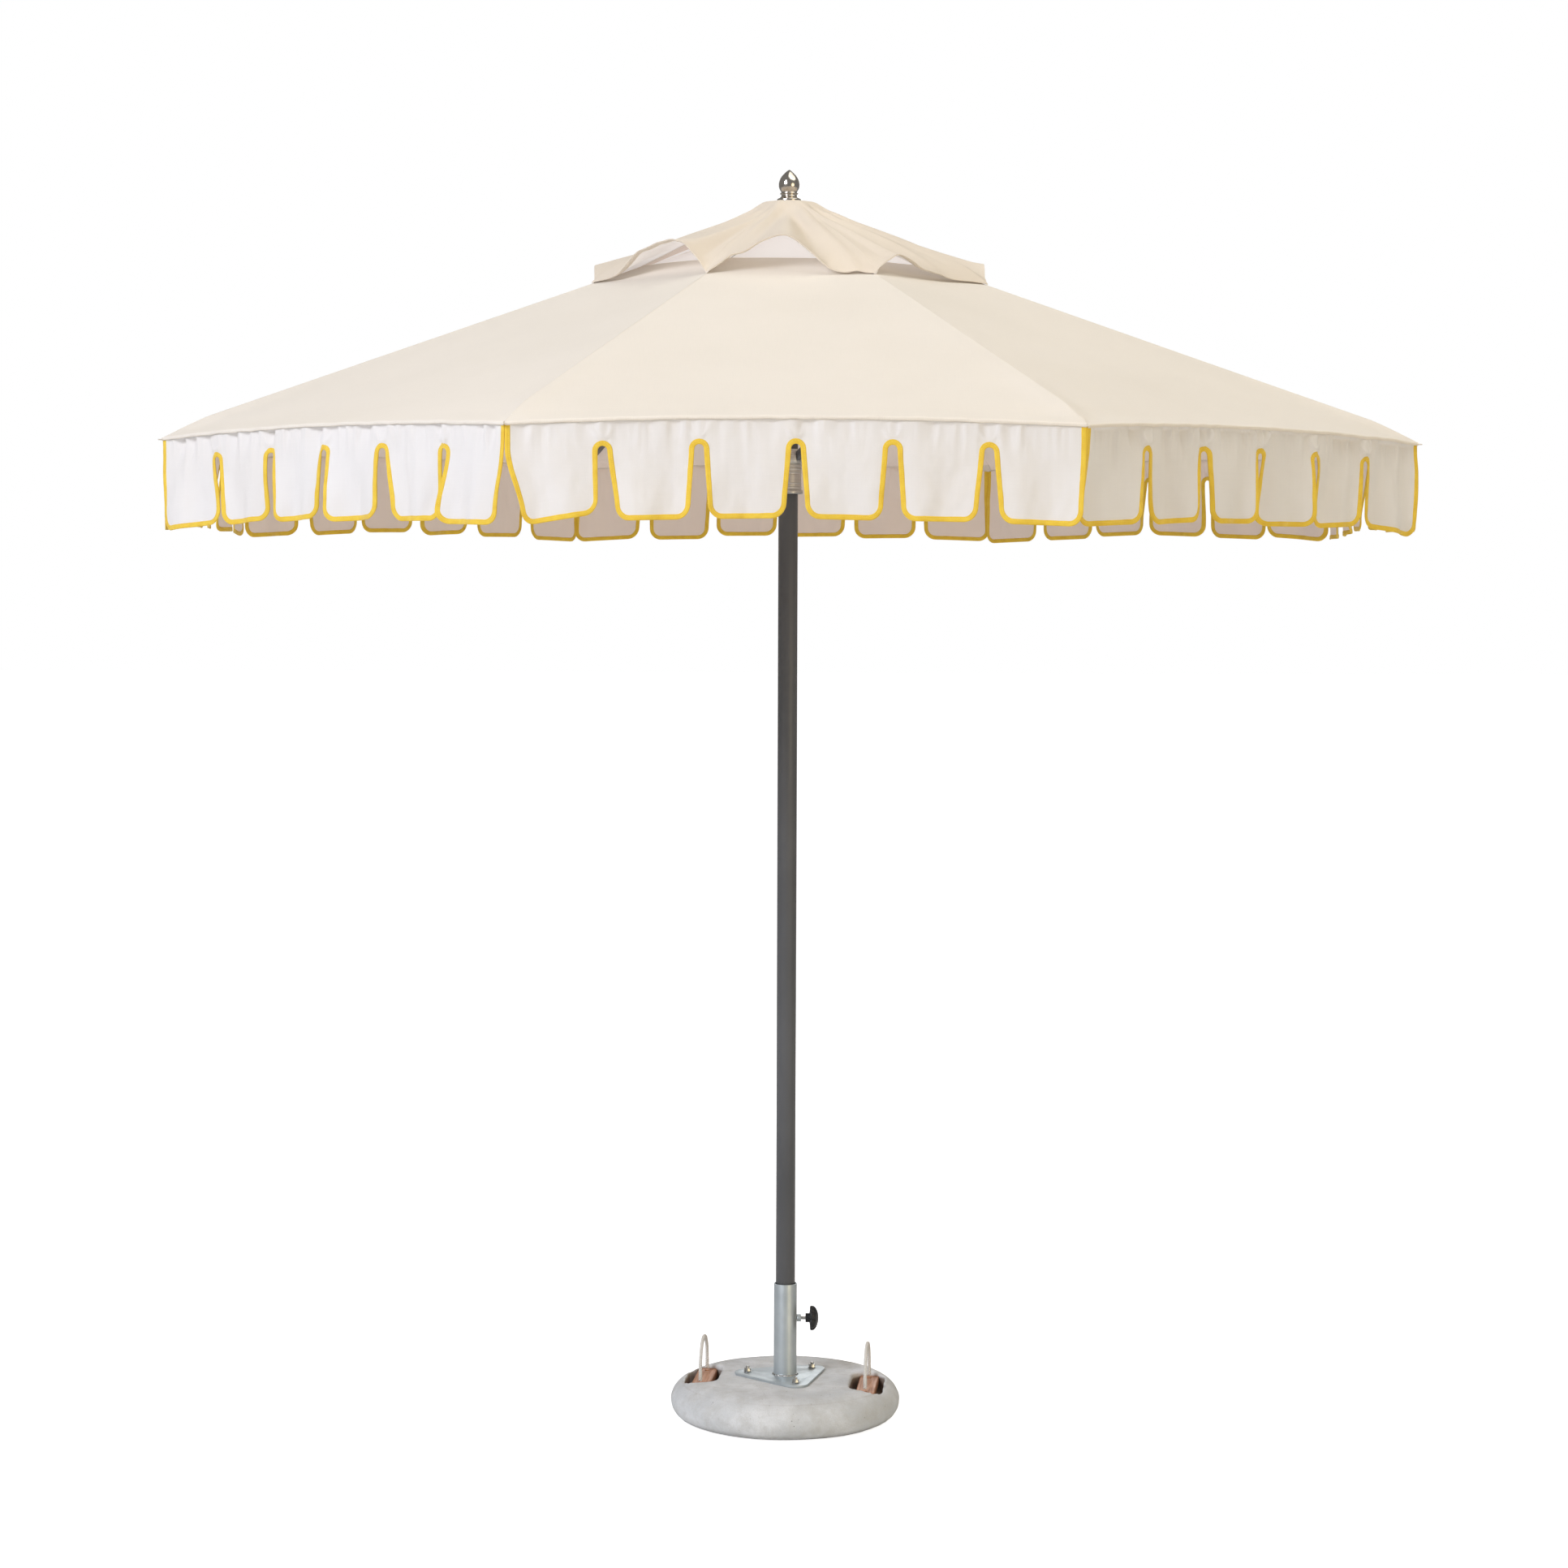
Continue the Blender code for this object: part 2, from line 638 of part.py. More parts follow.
def crown_hub():
    """Slotted hub on the pole's top. It holds the ribs' pins, and its top plate carries the vent cap."""
    bottom = RIB_PIVOT_HEIGHT - CROWN_BELOW
    top = RIB_PIVOT_HEIGHT + CROWN_ABOVE
    bore = POLE_RADIUS + GAP
    hole = STUD_RADIUS + GAP
    hole_bottom = CROWN_TOP - STUD_LENGTH - STUD_CLEARANCE
    profile = [
        (0, hole_bottom),
        (hole, hole_bottom),
        (hole, CROWN_TOP),
        (CROWN_PLATE_RADIUS, CROWN_TOP),
        (CROWN_PLATE_RADIUS, CROWN_PLATE_BOTTOM),
        (CROWN_NECK, CROWN_PLATE_BOTTOM),
        (CROWN_NECK, top),
        (CROWN_RADIUS, top),
        (CROWN_RADIUS, bottom),
        (CROWN_SLEEVE, bottom),
        (CROWN_SLEEVE, CROWN_SLEEVE_BOTTOM),
        (bore, CROWN_SLEEVE_BOTTOM),
        (bore, POLE_TOP + GAP),
        (0, POLE_TOP + GAP),
    ]
    hub = turned("crown_hub", profile, BLACK)
    slot = RIB_WIDTH + 2 * SLIDE
    outer, low, high = CROWN_RADIUS + CUT_MARGIN, bottom - CUT_MARGIN, top + CUT_MARGIN
    slots = mesh_from(
        "crown_slots", lambda shape: radial_slots(shape, CROWN_CORE, outer, slot, low, high)
    )
    combine(hub, put_cutter("crown_slots", slots))
    length = RIB_WIDTH + 2 * PIN_STICK_OUT + 2 * SLIDE
    holes = mesh_from(
        "crown_pin_holes", lambda shape: pivot_holes(shape, length, RIB_PIVOT_HEIGHT)
    )
    combine(hub, put_cutter("crown_pin_holes", holes))


def finial():
    """Acorn finial on a stud that screws down through the vent cap into the crown hub."""
    stud_bottom = CROWN_TOP - STUD_LENGTH
    belly = FINIAL_BASE + FINIAL_BELLY_HEIGHT
    dome = [
        (FINIAL_RADIUS * math.cos(t), belly + (FINIAL_TOP - belly) * math.sin(t) ** FINIAL_POINT)
        for t in (math.radians(a) for a in (75, 60, 45, 30, 15, 0))
    ]
    profile = [
        (0, FINIAL_TOP),
        *dome,
        *((radius, FINIAL_BASE + height) for radius, height in FINIAL_STEM),
        (STUD_RADIUS, FINIAL_BASE),
        (STUD_RADIUS, stud_bottom),
        (0, stud_bottom),
    ]
    turned("finial", profile, NICKEL)


# ---- Runner ----


def runner():
    """Slotted collar that slides on the pole. It holds the lower pins of the struts."""
    bottom = RUNNER_PIVOT_HEIGHT - RUNNER_HALF_HEIGHT
    top = RUNNER_PIVOT_HEIGHT + RUNNER_HALF_HEIGHT
    ring_top = RUNNER_BOTTOM + RUNNER_RING_HEIGHT
    collar_top = top + RUNNER_COLLAR_HEIGHT
    profile = [
        (RUNNER_BORE, collar_top),
        (RUNNER_COLLAR, collar_top),
        (RUNNER_COLLAR, top),
        (RUNNER_RADIUS, top),
        (RUNNER_RADIUS, bottom),
        (RUNNER_SLEEVE, bottom),
        (RUNNER_SLEEVE, ring_top),
        (RUNNER_RING, ring_top),
        (RUNNER_RING, RUNNER_BOTTOM),
        (RUNNER_BORE, RUNNER_BOTTOM),
    ]
    body = turned("runner", profile, STEEL, closed=True)
    slot = STRUT_WIDTH + 2 * SLIDE
    outer, low, high = RUNNER_RADIUS + CUT_MARGIN, bottom - CUT_MARGIN, top + CUT_MARGIN
    slots = mesh_from(
        "runner_slots", lambda shape: radial_slots(shape, RUNNER_CORE, outer, slot, low, high)
    )
    combine(body, put_cutter("runner_slots", slots))
    length = STRUT_WIDTH + 2 * PIN_STICK_OUT + 2 * SLIDE
    holes = mesh_from(
        "runner_pin_holes", lambda shape: pivot_holes(shape, length, RUNNER_PIVOT_HEIGHT)
    )
    combine(body, put_cutter("runner_pin_holes", holes))
    button_hole = mesh_from(
        "button_hole",
        lambda shape: add_cylinder(
            shape, BUTTON_RADIUS + GAP, RUNNER_SLEEVE, SMALL_STEPS, along(0, 0, 0)
        ),
    )
    combine(body, put_cutter("button_hole", button_hole, (-RUNNER_SLEEVE, 0, BUTTON_HEIGHT)))


def release_button():
    """Press button in the runner's sleeve. Pressed, it stops just short of the pole."""
    nose = POLE_RADIUS + GAP + BUTTON_TRAVEL
    place = along(0, 0, 0)
    shape_of = mesh_from(
        "release_button",
        lambda shape: add_cylinder(shape, BUTTON_RADIUS, BUTTON_LENGTH, SMALL_STEPS, place),
    )
    put("release_button", shape_of, BLACK, (-nose - BUTTON_LENGTH / 2, 0, BUTTON_HEIGHT))


# ---- Ribs, brackets and struts ----


def rib_angle(number):
    return FIRST_RIB + (number - 1) * STEP


def ribs():
    """Square tubes. A rib's own X runs out from the pin at its inner end, and its own Y along the pin."""
    length = RIB_LENGTH + RIB_TAIL
    middle = (RIB_LENGTH - RIB_TAIL) / 2
    size = (length, RIB_WIDTH, RIB_DEPTH)
    bar = put("rib", mesh_from("rib", lambda shape: add_box(shape, size, (middle, 0, 0))), CHARCOAL)
    bevel(bar, RIB_EDGE)
    inside = (2 * length, RIB_WIDTH - 2 * RIB_WALL, RIB_DEPTH - 2 * RIB_WALL)
    hollow = mesh_from("rib_hollow", lambda shape: add_box(shape, inside, (middle, 0, 0)))
    combine(bar, put_cutter("rib_hollow", hollow))
    pin = mesh_from(
        "rib_pin",
        lambda shape: add_cylinder(
            shape, PIN_RADIUS, RIB_WIDTH + 2 * PIN_STICK_OUT, PIVOT_STEPS, across(0, 0, 0)
        ),
    )
    combine(bar, put_cutter("rib_pin", pin), "UNION")
    shared = finished_mesh("rib", bar)
    for number in range(1, SIDES + 1):
        angle = rib_angle(number)
        place = around(angle, PIVOT_RADIUS, RIB_PIVOT_HEIGHT)
        put(f"rib_{number}", shared, CHARCOAL, place, (0, RIB_SLOPE, angle))


def rib_brackets():
    """A clevis under each rib. Its own origin is the strut's pivot, and its own X runs along the rib."""
    top = PIVOT_DROP - GAP
    height = top + BRACKET_LIP
    width = STRUT_WIDTH + 2 * SLIDE + 2 * BRACKET_WALL
    outside = mesh_from(
        "bracket",
        lambda shape: add_box(shape, (BRACKET_LENGTH, width, height), (0, 0, top - height / 2)),
    )
    block = put("bracket", outside, CHARCOAL)
    size = (2 * BRACKET_LENGTH, STRUT_WIDTH + 2 * SLIDE, 2 * height)
    middle = (0, 0, top - BRACKET_PLATE - height)
    channel = mesh_from("channel", lambda shape: add_box(shape, size, middle))
    combine(block, put_cutter("channel", channel))
    hole = mesh_from(
        "bracket_hole",
        lambda shape: add_cylinder(shape, PIN_HOLE_RADIUS, 2 * width, PIVOT_STEPS, across(0, 0, 0)),
    )
    combine(block, put_cutter("bracket_hole", hole))
    shared = finished_mesh("rib_bracket", block)
    for number in range(1, SIDES + 1):
        angle = rib_angle(number)
        place = around(angle, STRUT_PIVOT_RADIUS, STRUT_PIVOT_HEIGHT)
        put(f"rib_bracket_{number}", shared, CHARCOAL, place, (0, RIB_SLOPE, angle))


def struts():
    """A strut's own origin is its upper pin, and it runs from there along its own -X to the runner."""

    def flat(shape):
        add_disc_hull(
            shape,
            [(0, 0), (-STRUT_LENGTH, 0)],
            STRUT_END,
            -STRUT_WIDTH / 2,
            STRUT_WIDTH / 2,
            SMALL_STEPS,
        )
        bmesh.ops.rotate(shape, matrix=Matrix.Rotation(math.pi / 2, 3, "X"), verts=shape.verts)

    bar = put("strut", mesh_from("strut", flat), CHARCOAL)
    length = STRUT_WIDTH + 2 * PIN_STICK_OUT

    def pins(shape):
        for x in (0, -STRUT_LENGTH):
            add_cylinder(shape, PIN_RADIUS, length, PIVOT_STEPS, across(x, 0, 0))

    combine(bar, put_cutter("strut_pins", mesh_from("strut_pins", pins)), "UNION")
    shared = finished_mesh("strut", bar)
    for number in range(1, SIDES + 1):
        angle = rib_angle(number)
        place = around(angle, STRUT_PIVOT_RADIUS, STRUT_PIVOT_HEIGHT)
        put(f"strut_{number}", shared, CHARCOAL, place, (0, -LINK_SLOPE, angle))


# ---- Canopy, vent cap and valance ----


def fabric_height(radius):
    """Height of the fabric over a rib."""
    line = RIB_PIVOT_HEIGHT - (radius - PIVOT_RADIUS) * math.tan(RIB_SLOPE)
    return line + FABRIC_LIFT / math.cos(RIB_SLOPE)


def thicken(target):
    step = target.modifiers.new("thickness", "SOLIDIFY")
    step.thickness = FABRIC
    step.offset = 0
    step.use_even_offset = True
    return target


def canopy_panels():
    """One gore between each rib and the next. Its origin is the hinge line that it folds about."""
    hinge = PIVOT_RADIUS * math.cos(STEP / 2)
    stations = [
        (VENT_RADIUS, fabric_height(VENT_RADIUS)),
        (KNEE_RADIUS, fabric_height(KNEE_RADIUS)),
        (RIM_RADIUS, RIM_HEIGHT),
    ]

    def gore(shape):
        rows = []
        for radius, height in stations:
            x = radius * math.cos(STEP / 2) - hinge
            y = radius * math.sin(STEP / 2) - SEAM_GAP
            z = height - RIB_PIVOT_HEIGHT
            rows.append([shape.verts.new((x, side * y, z)) for side in (-1, 1)])
        for inner, outer in zip(rows, rows[1:]):
            shape.faces.new([inner[0], outer[0], outer[1], inner[1]])

    shared = mesh_from("canopy_panel", gore)
    for number in range(1, SIDES + 1):
        angle = rib_angle(number) + STEP / 2
        place = around(angle, hinge, RIB_PIVOT_HEIGHT)
        thicken(put(f"canopy_panel_{number}", shared, CANVAS, place, (0, 0, angle)))


def vent_cap():
    """Small eight-sided canopy over the vent, clamped under the finial."""
    profile = [
        (CAP_HOLE_RADIUS, CAP_TOP),
        (CAP_FLAT_RADIUS, CAP_TOP),
        (CAP_RADIUS, CAP_EDGE_HEIGHT),
    ]
    cap = turned("vent_cap", profile, CANVAS, steps=SIDES)
    cap.rotation_euler = (0, 0, FIRST_RIB)
    thicken(cap)


def valance_outline():
    """Comb-shaped outline of (along, down) points: six flaps with a rounded slot between neighbours."""
    end = SIDE_HALF - 2 * SEAM_GAP
    pitch = 2 * end / FLAPS
    outline = [(end, -VALANCE_START), (-end, -VALANCE_START)]
    for flap in range(FLAPS):
        left = -end + flap * pitch + (SLOT_FOOT_HALF if flap else 0)
        right = -end + (flap + 1) * pitch - (SLOT_FOOT_HALF if flap < FLAPS - 1 else 0)
        low = -VALANCE_DROP + FLAP_CORNER
        outline += arc((left + FLAP_CORNER, low), FLAP_CORNER, 180, 270, 4)
        outline += arc((right - FLAP_CORNER, low), FLAP_CORNER, 270, 360, 4)
        if flap < FLAPS - 1:
            middle = -end + (flap + 1) * pitch
            outline += arc((middle, -SLOT_START - SLOT_TOP_HALF), SLOT_TOP_HALF, 180, 0, 5)
    return outline


def valances():
    """One slotted strip hanging from each side of the rim. Its origin is the rim line it turns about."""
    strip = bpy.data.curves.new("valance", "CURVE")
    strip.dimensions = "2D"
    strip.fill_mode = "BOTH"
    strip.extrude = FABRIC / 2
    points = valance_outline()
    spline = strip.splines.new("POLY")
    spline.points.add(len(points) - 1)
    for point, (x, y) in zip(spline.points, points):
        point.co = (x, y, 0, 1)
    spline.use_cyclic_u = True
    for number in range(1, SIDES + 1):
        angle = rib_angle(number) + STEP / 2
        place = around(angle, RIM_RADIUS * math.cos(STEP / 2), RIM_HEIGHT)
        put(f"valance_{number}", strip, CANVAS, place, (math.pi / 2, 0, angle + math.pi / 2))


concrete_base()
handle_slats()
handle_ropes()
pole_socket()
base_bolts()
clamp_nut()
clamp_screw()
clamp_knob()
pole_foot()
pole()
crown_hub()
finial()
runner()
release_button()
ribs()
rib_brackets()
struts()
canopy_panels()
vent_cap()
valances()
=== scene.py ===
import json
import math
import random

import bmesh
import bpy
from mathutils import Matrix, Vector, noise


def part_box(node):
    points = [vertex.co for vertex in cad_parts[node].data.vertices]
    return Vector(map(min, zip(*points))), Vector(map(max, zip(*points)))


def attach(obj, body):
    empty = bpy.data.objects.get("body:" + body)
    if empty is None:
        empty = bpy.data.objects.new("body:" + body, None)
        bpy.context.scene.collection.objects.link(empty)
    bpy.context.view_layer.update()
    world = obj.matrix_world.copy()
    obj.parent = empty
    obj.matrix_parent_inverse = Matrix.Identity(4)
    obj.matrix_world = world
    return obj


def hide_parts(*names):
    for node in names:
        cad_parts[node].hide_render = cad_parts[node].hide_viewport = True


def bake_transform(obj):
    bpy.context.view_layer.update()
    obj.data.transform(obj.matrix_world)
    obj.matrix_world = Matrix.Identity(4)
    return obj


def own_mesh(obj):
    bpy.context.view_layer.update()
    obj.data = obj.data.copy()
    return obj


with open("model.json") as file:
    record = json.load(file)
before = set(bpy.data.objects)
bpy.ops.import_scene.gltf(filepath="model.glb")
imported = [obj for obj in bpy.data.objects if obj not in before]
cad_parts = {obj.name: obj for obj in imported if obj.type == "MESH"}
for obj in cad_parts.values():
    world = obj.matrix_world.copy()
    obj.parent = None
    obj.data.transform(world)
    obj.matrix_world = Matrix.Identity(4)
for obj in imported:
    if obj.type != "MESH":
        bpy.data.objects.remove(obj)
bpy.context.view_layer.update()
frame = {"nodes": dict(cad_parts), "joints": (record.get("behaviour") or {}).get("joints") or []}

NODES = frame["nodes"]
SIDES = 8
STEP = 2 * math.pi / SIDES
HALF_STEP = STEP / 2
FRONT = -math.pi / 2  # azimuth of side 1, which faces the camera
MM = 0.001

# Sizes read from the frame
PANEL_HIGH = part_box("canopy_panel_1")[1]
RIM_RADIUS = PANEL_HIGH.x / math.sin(HALF_STEP)
VENT_RADIUS = -PANEL_HIGH.y / math.cos(HALF_STEP)
CAP_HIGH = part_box("vent_cap")[1]
CAP_RADIUS = CAP_HIGH.x / math.cos(HALF_STEP)
VALANCE_LOW, VALANCE_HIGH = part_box("valance_1")
FINIAL_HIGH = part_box("finial")[1]
RUNNER_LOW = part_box("runner")[0]
KNOB_LOW, KNOB_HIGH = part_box("clamp_knob")
BASE_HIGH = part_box("concrete_base")[1]
HANDLE_LINE = next(Vector(j["axis"]) for j in frame["joints"] if j["name"] == "handle_1_swing")
TUBE_RADIUS = 25.1 * MM
PLATE_TOP = BASE_HIGH.z + 5.3 * MM

# The fabric
FABRIC = 1.2 * MM
THIN_FABRIC = 0.6 * MM
RIB_SLOPE = 0.36
SLOPE = math.atan(RIB_SLOPE / math.cos(HALF_STEP))  # of a gore's middle line
RIM_HEIGHT = VALANCE_HIGH.z + 3 * MM
TIP_DROP = 12 * MM  # the rim's corners, below the straight line of the ribs
KNEE = 0.095  # from the rim inwards, where the fabric starts to turn down over a rib's end
SIDE_LENGTH = 2 * RIM_RADIUS * math.sin(HALF_STEP)
SIDE_DISTANCE = RIM_RADIUS * math.cos(HALF_STEP)
GORE_END = 0.9985  # the gores stop just short of the rib lines
CAP_END = 0.998
SEAM_UVS = (0, 0.5, 5.5, 10.5, 11, 5.5)


# ---- Node helpers for the materials ----


class Shader:
    """One Principled material whose inputs are worked out by nodes."""

    def __init__(self, name, roughness, metallic=0.0, sheen=0.0, coat=0.0):
        self.material = bpy.data.materials.new(name)
        self.material.use_nodes = True
        self.tree = self.material.node_tree
        self.surface = next(n for n in self.tree.nodes if n.type == "BSDF_PRINCIPLED")
        self.set("Roughness", roughness)
        self.set("Metallic", metallic)
        self.set("Sheen Weight", sheen)
        self.set("Sheen Roughness", 0.5)
        self.set("Coat Weight", coat)
        self.coordinate = self.tree.nodes.new("ShaderNodeTexCoord")

    def put(self, socket, value):
        if hasattr(value, "links"):
            self.tree.links.new(value, socket)
        else:
            socket.default_value = value

    def set(self, name, value):
        self.put(self.surface.inputs[name], value)

    def add(self, kind, **inputs):
        """A new node. Its inputs are set or linked, and _ stands for a space in their names."""
        node = self.tree.nodes.new(f"ShaderNode{kind}")
        for name, value in inputs.items():
            self.put(node.inputs[name.replace("_", " ")], value)
        return node

    def place(self, scale, source="Object"):
        return self.add("Mapping", Vector=self.coordinate.outputs[source], Scale=scale).outputs["Vector"]

    def noise(self, scale, detail=3.0, stretch=(1, 1, 1), source="Object", roughness=0.5):
        place = self.place(stretch, source)
        node = self.add("TexNoise", Vector=place, Scale=scale, Detail=detail, Roughness=roughness)
        return node.outputs["Fac"]

    def cells(self, scale):
        return self.add("TexVoronoi", Vector=self.place((1, 1, 1)), Scale=scale).outputs["Distance"]

    def axis(self, name, source="Object"):
        return self.add("SeparateXYZ", Vector=self.coordinate.outputs[source]).outputs[name]

    def sum(self, operation, *values):
        node = self.add("Math")
        node.operation = operation
        for socket, value in zip(node.inputs, (*values, 0.0)[:max(2, len(values))]):
            self.put(socket, value)
        return node.outputs[0]

    def wave(self, value, period):
        """0 to 1, once each period."""
        turn = self.sum("MULTIPLY_ADD", value, 2 * math.pi / period, 0.0)
        return self.sum("MULTIPLY_ADD", self.sum("SINE", turn), 0.5, 0.5)

    def steps(self, value, low, high, first=0.0, last=1.0):
        """From first to last as the value goes from low to high."""
        node = self.add("MapRange", Value=value, From_Min=low, From_Max=high, To_Min=first, To_Max=last)
        return node.outputs["Result"]

    def mix(self, share, first, second):
        node = self.add("Mix")
        node.data_type = "RGBA"
        for number, value in ((0, share), (6, first), (7, second)):
            self.put(node.inputs[number], value)
        return node.outputs[2]

    def tone(self, value, low, high, first, second):
        """The first colour below low, the second above high."""
        return self.mix(self.steps(value, low, high), first, second)

    def away(self, value, place):
        return self.sum("ABSOLUTE", self.sum("SUBTRACT", value, place))

    def bump(self, height, depth, strength):
        """Adds a relief of that depth in metres to the relief so far."""
        node = self.add("Bump", Height=height, Distance=depth, Strength=strength)
        normal = self.surface.inputs["Normal"]
        if normal.links:
            self.put(node.inputs["Normal"], normal.links[0].from_socket)
        self.put(normal, node.outputs["Normal"])

    def dent(self, share, depth, strength):
        """Lowers the surface where the share is 1."""
        self.bump(self.sum("SUBTRACT", 1.0, share), depth, strength)


def rgb(red, green, blue):
    """A linear colour from 0 to 255 screen values."""

    def linear(value):
        value /= 255
        return value / 12.92 if value <= 0.04045 else ((value + 0.055) / 1.055) ** 2.4

    return (linear(red), linear(green), linear(blue), 1.0)


# ---- Materials ----


def weave(shader, thread, depth):
    """Plain weave over UVs in metres, with threads of uneven thickness."""
    across = shader.axis("X", "UV")
    along = shader.axis("Y", "UV")
    over = shader.wave(across, 2 * thread)
    under = shader.wave(along, 2 * thread)
    shader.bump(shader.away(over, under), depth, 0.6)
    warp = shader.noise(1.0, 2.0, (900, 14, 1), "UV")
    weft = shader.noise(1.0, 2.0, (14, 900, 1), "UV")
    slub = shader.sum("ADD", warp, weft)
    shader.bump(slub, depth, 0.35)
    return slub


def canvas(name, colour, shade, cloud_scale=3.0, painted_glow=0.0):
    shader = Shader(name, roughness=0.92, sheen=0.12)
    slub = weave(shader, 0.55 * MM, 0.25 * MM)
    soft = shader.noise(cloud_scale, 4.0)
    tone = shader.tone(soft, 0.35, 0.7, colour, shade)
    valley_tone = (*(0.955 * c for c in colour[:3]), 1)
    thread_tone = shader.tone(slub, 0.75, 1.25, valley_tone, colour)
    shader.set("Base Color", shader.mix(0.45, tone, thread_tone))
    shader.set("Roughness", shader.steps(soft, 0.3, 0.7, 0.86, 0.96))
    creases = shader.noise(26.0, 3.0, (1, 1, 1))
    shader.bump(creases, 1.2 * MM, 0.18)
    shader.set("Emission Color", tone)
    shader.set("Emission Strength", painted_glow)  # painted light: an emission glow that stands in for daylight coming through the cloth
    return shader.material


def tape(name, colour, shade, stitch_at, stitch_colour):
    """Twill tape. Its UVs are metres along and across, and a row of stitches runs along it."""
    shader = Shader(name, roughness=0.75, sheen=0.15)
    along = shader.axis("X", "UV")
    across = shader.axis("Y", "UV")
    twill = shader.wave(shader.sum("ADD", along, across), 1.1 * MM)
    shader.bump(twill, 0.18 * MM, 0.6)
    line = shader.away(across, stitch_at)
    row = shader.steps(line, 0.45 * MM, 0.25 * MM)
    dash = shader.steps(shader.wave(along, 3.6 * MM), 0.25, 0.4)
    stitch = shader.sum("MULTIPLY", row, dash)
    shader.bump(stitch, 0.5 * MM, 0.8)
    shader.dent(shader.steps(line, 1.4 * MM, 0.2 * MM), 0.5 * MM, 0.6)
    worn = shader.noise(60.0, 3.0)
    body = shader.tone(worn, 0.35, 0.7, colour, shade)
    shader.set("Base Color", shader.mix(stitch, body, stitch_colour))
    return shader.material


def hem_material(name, colour, shade, rows):
    """Folded canvas with rows of stitches at those distances across it."""
    shader = Shader(name, roughness=0.9, sheen=0.12)
    slub = weave(shader, 0.55 * MM, 0.25 * MM)
    along = shader.axis("X", "UV")
    across = shader.axis("Y", "UV")
    dash = shader.steps(shader.wave(along, 4.2 * MM), 0.22, 0.4)
    stitches = 0.0
    for distance in rows:
        line = shader.away(across, distance)
        row = shader.sum("MULTIPLY", shader.steps(line, 0.5 * MM, 0.28 * MM), dash)
        stitches = shader.sum("MAXIMUM", stitches, row)
        shader.dent(shader.steps(line, 1.8 * MM, 0.2 * MM), 0.7 * MM, 0.5)
    shader.bump(stitches, 0.5 * MM, 0.9)
    pucker = shader.noise(1.0, 2.0, (220, 40, 1), "UV")
    shader.bump(pucker, 0.6 * MM, 0.4)
    body = shader.tone(slub, 0.75, 1.25, shade, colour)
    shader.set("Base Color", shader.mix(stitches, body, rgb(250, 246, 238)))
    return shader.material


def hard_finish(name, roughness, metallic, clouds, low, colours, rough, grain, depth, strength):
    """Colour and roughness follow the clouds, and the grain is a fine relief, or else the clouds are."""
    shader = Shader(name, roughness, metallic)
    cloud = shader.noise(*clouds)
    shader.set("Base Color", shader.tone(cloud, low, 0.7, *colours))
    shader.set("Roughness", shader.steps(cloud, *rough))
    shader.bump(shader.noise(grain, 2.0) if grain else cloud, depth * MM, strength)
    return shader.material


def galvanised():
    """Satin zinc coat, softly clouded, with a few scuffs."""
    shader = Shader("zinc", roughness=0.42, metallic=0.55)
    cloud = shader.noise(16.0, 4.0)
    base = shader.tone(cloud, 0.35, 0.7, rgb(182, 191, 195), rgb(197, 205, 208))
    scuff = shader.steps(shader.noise(18.0, 6.0, (1, 1, 6), roughness=0.7), 0.64, 0.74, 0.0, 0.6)
    shader.set("Base Color", shader.mix(scuff, base, rgb(214, 220, 221)))
    shader.set("Roughness", shader.steps(shader.noise(55.0, 3.0), 0.3, 0.7, 0.36, 0.48))
    shader.bump(shader.noise(240.0, 3.0), 0.1 * MM, 0.3)
    return shader.material


def moulded_plastic():
    shader = Shader("black_plastic", roughness=0.42)
    shader.set("Base Color", shader.mix(shader.noise(90.0, 3.0), rgb(22, 22, 24), rgb(34, 34, 36)))
    shader.set("Roughness", shader.steps(shader.noise(40.0, 3.0), 0.3, 0.7, 0.34, 0.5))
    shader.bump(shader.cells(900.0), 0.12 * MM, 0.5)
    return shader.material


POCKET_WALL = 0.225  # radius inside which the hand pockets are coloured darker brown
POCKET_BROWN_FOOT = 0.030  # height above which they are coloured darker brown
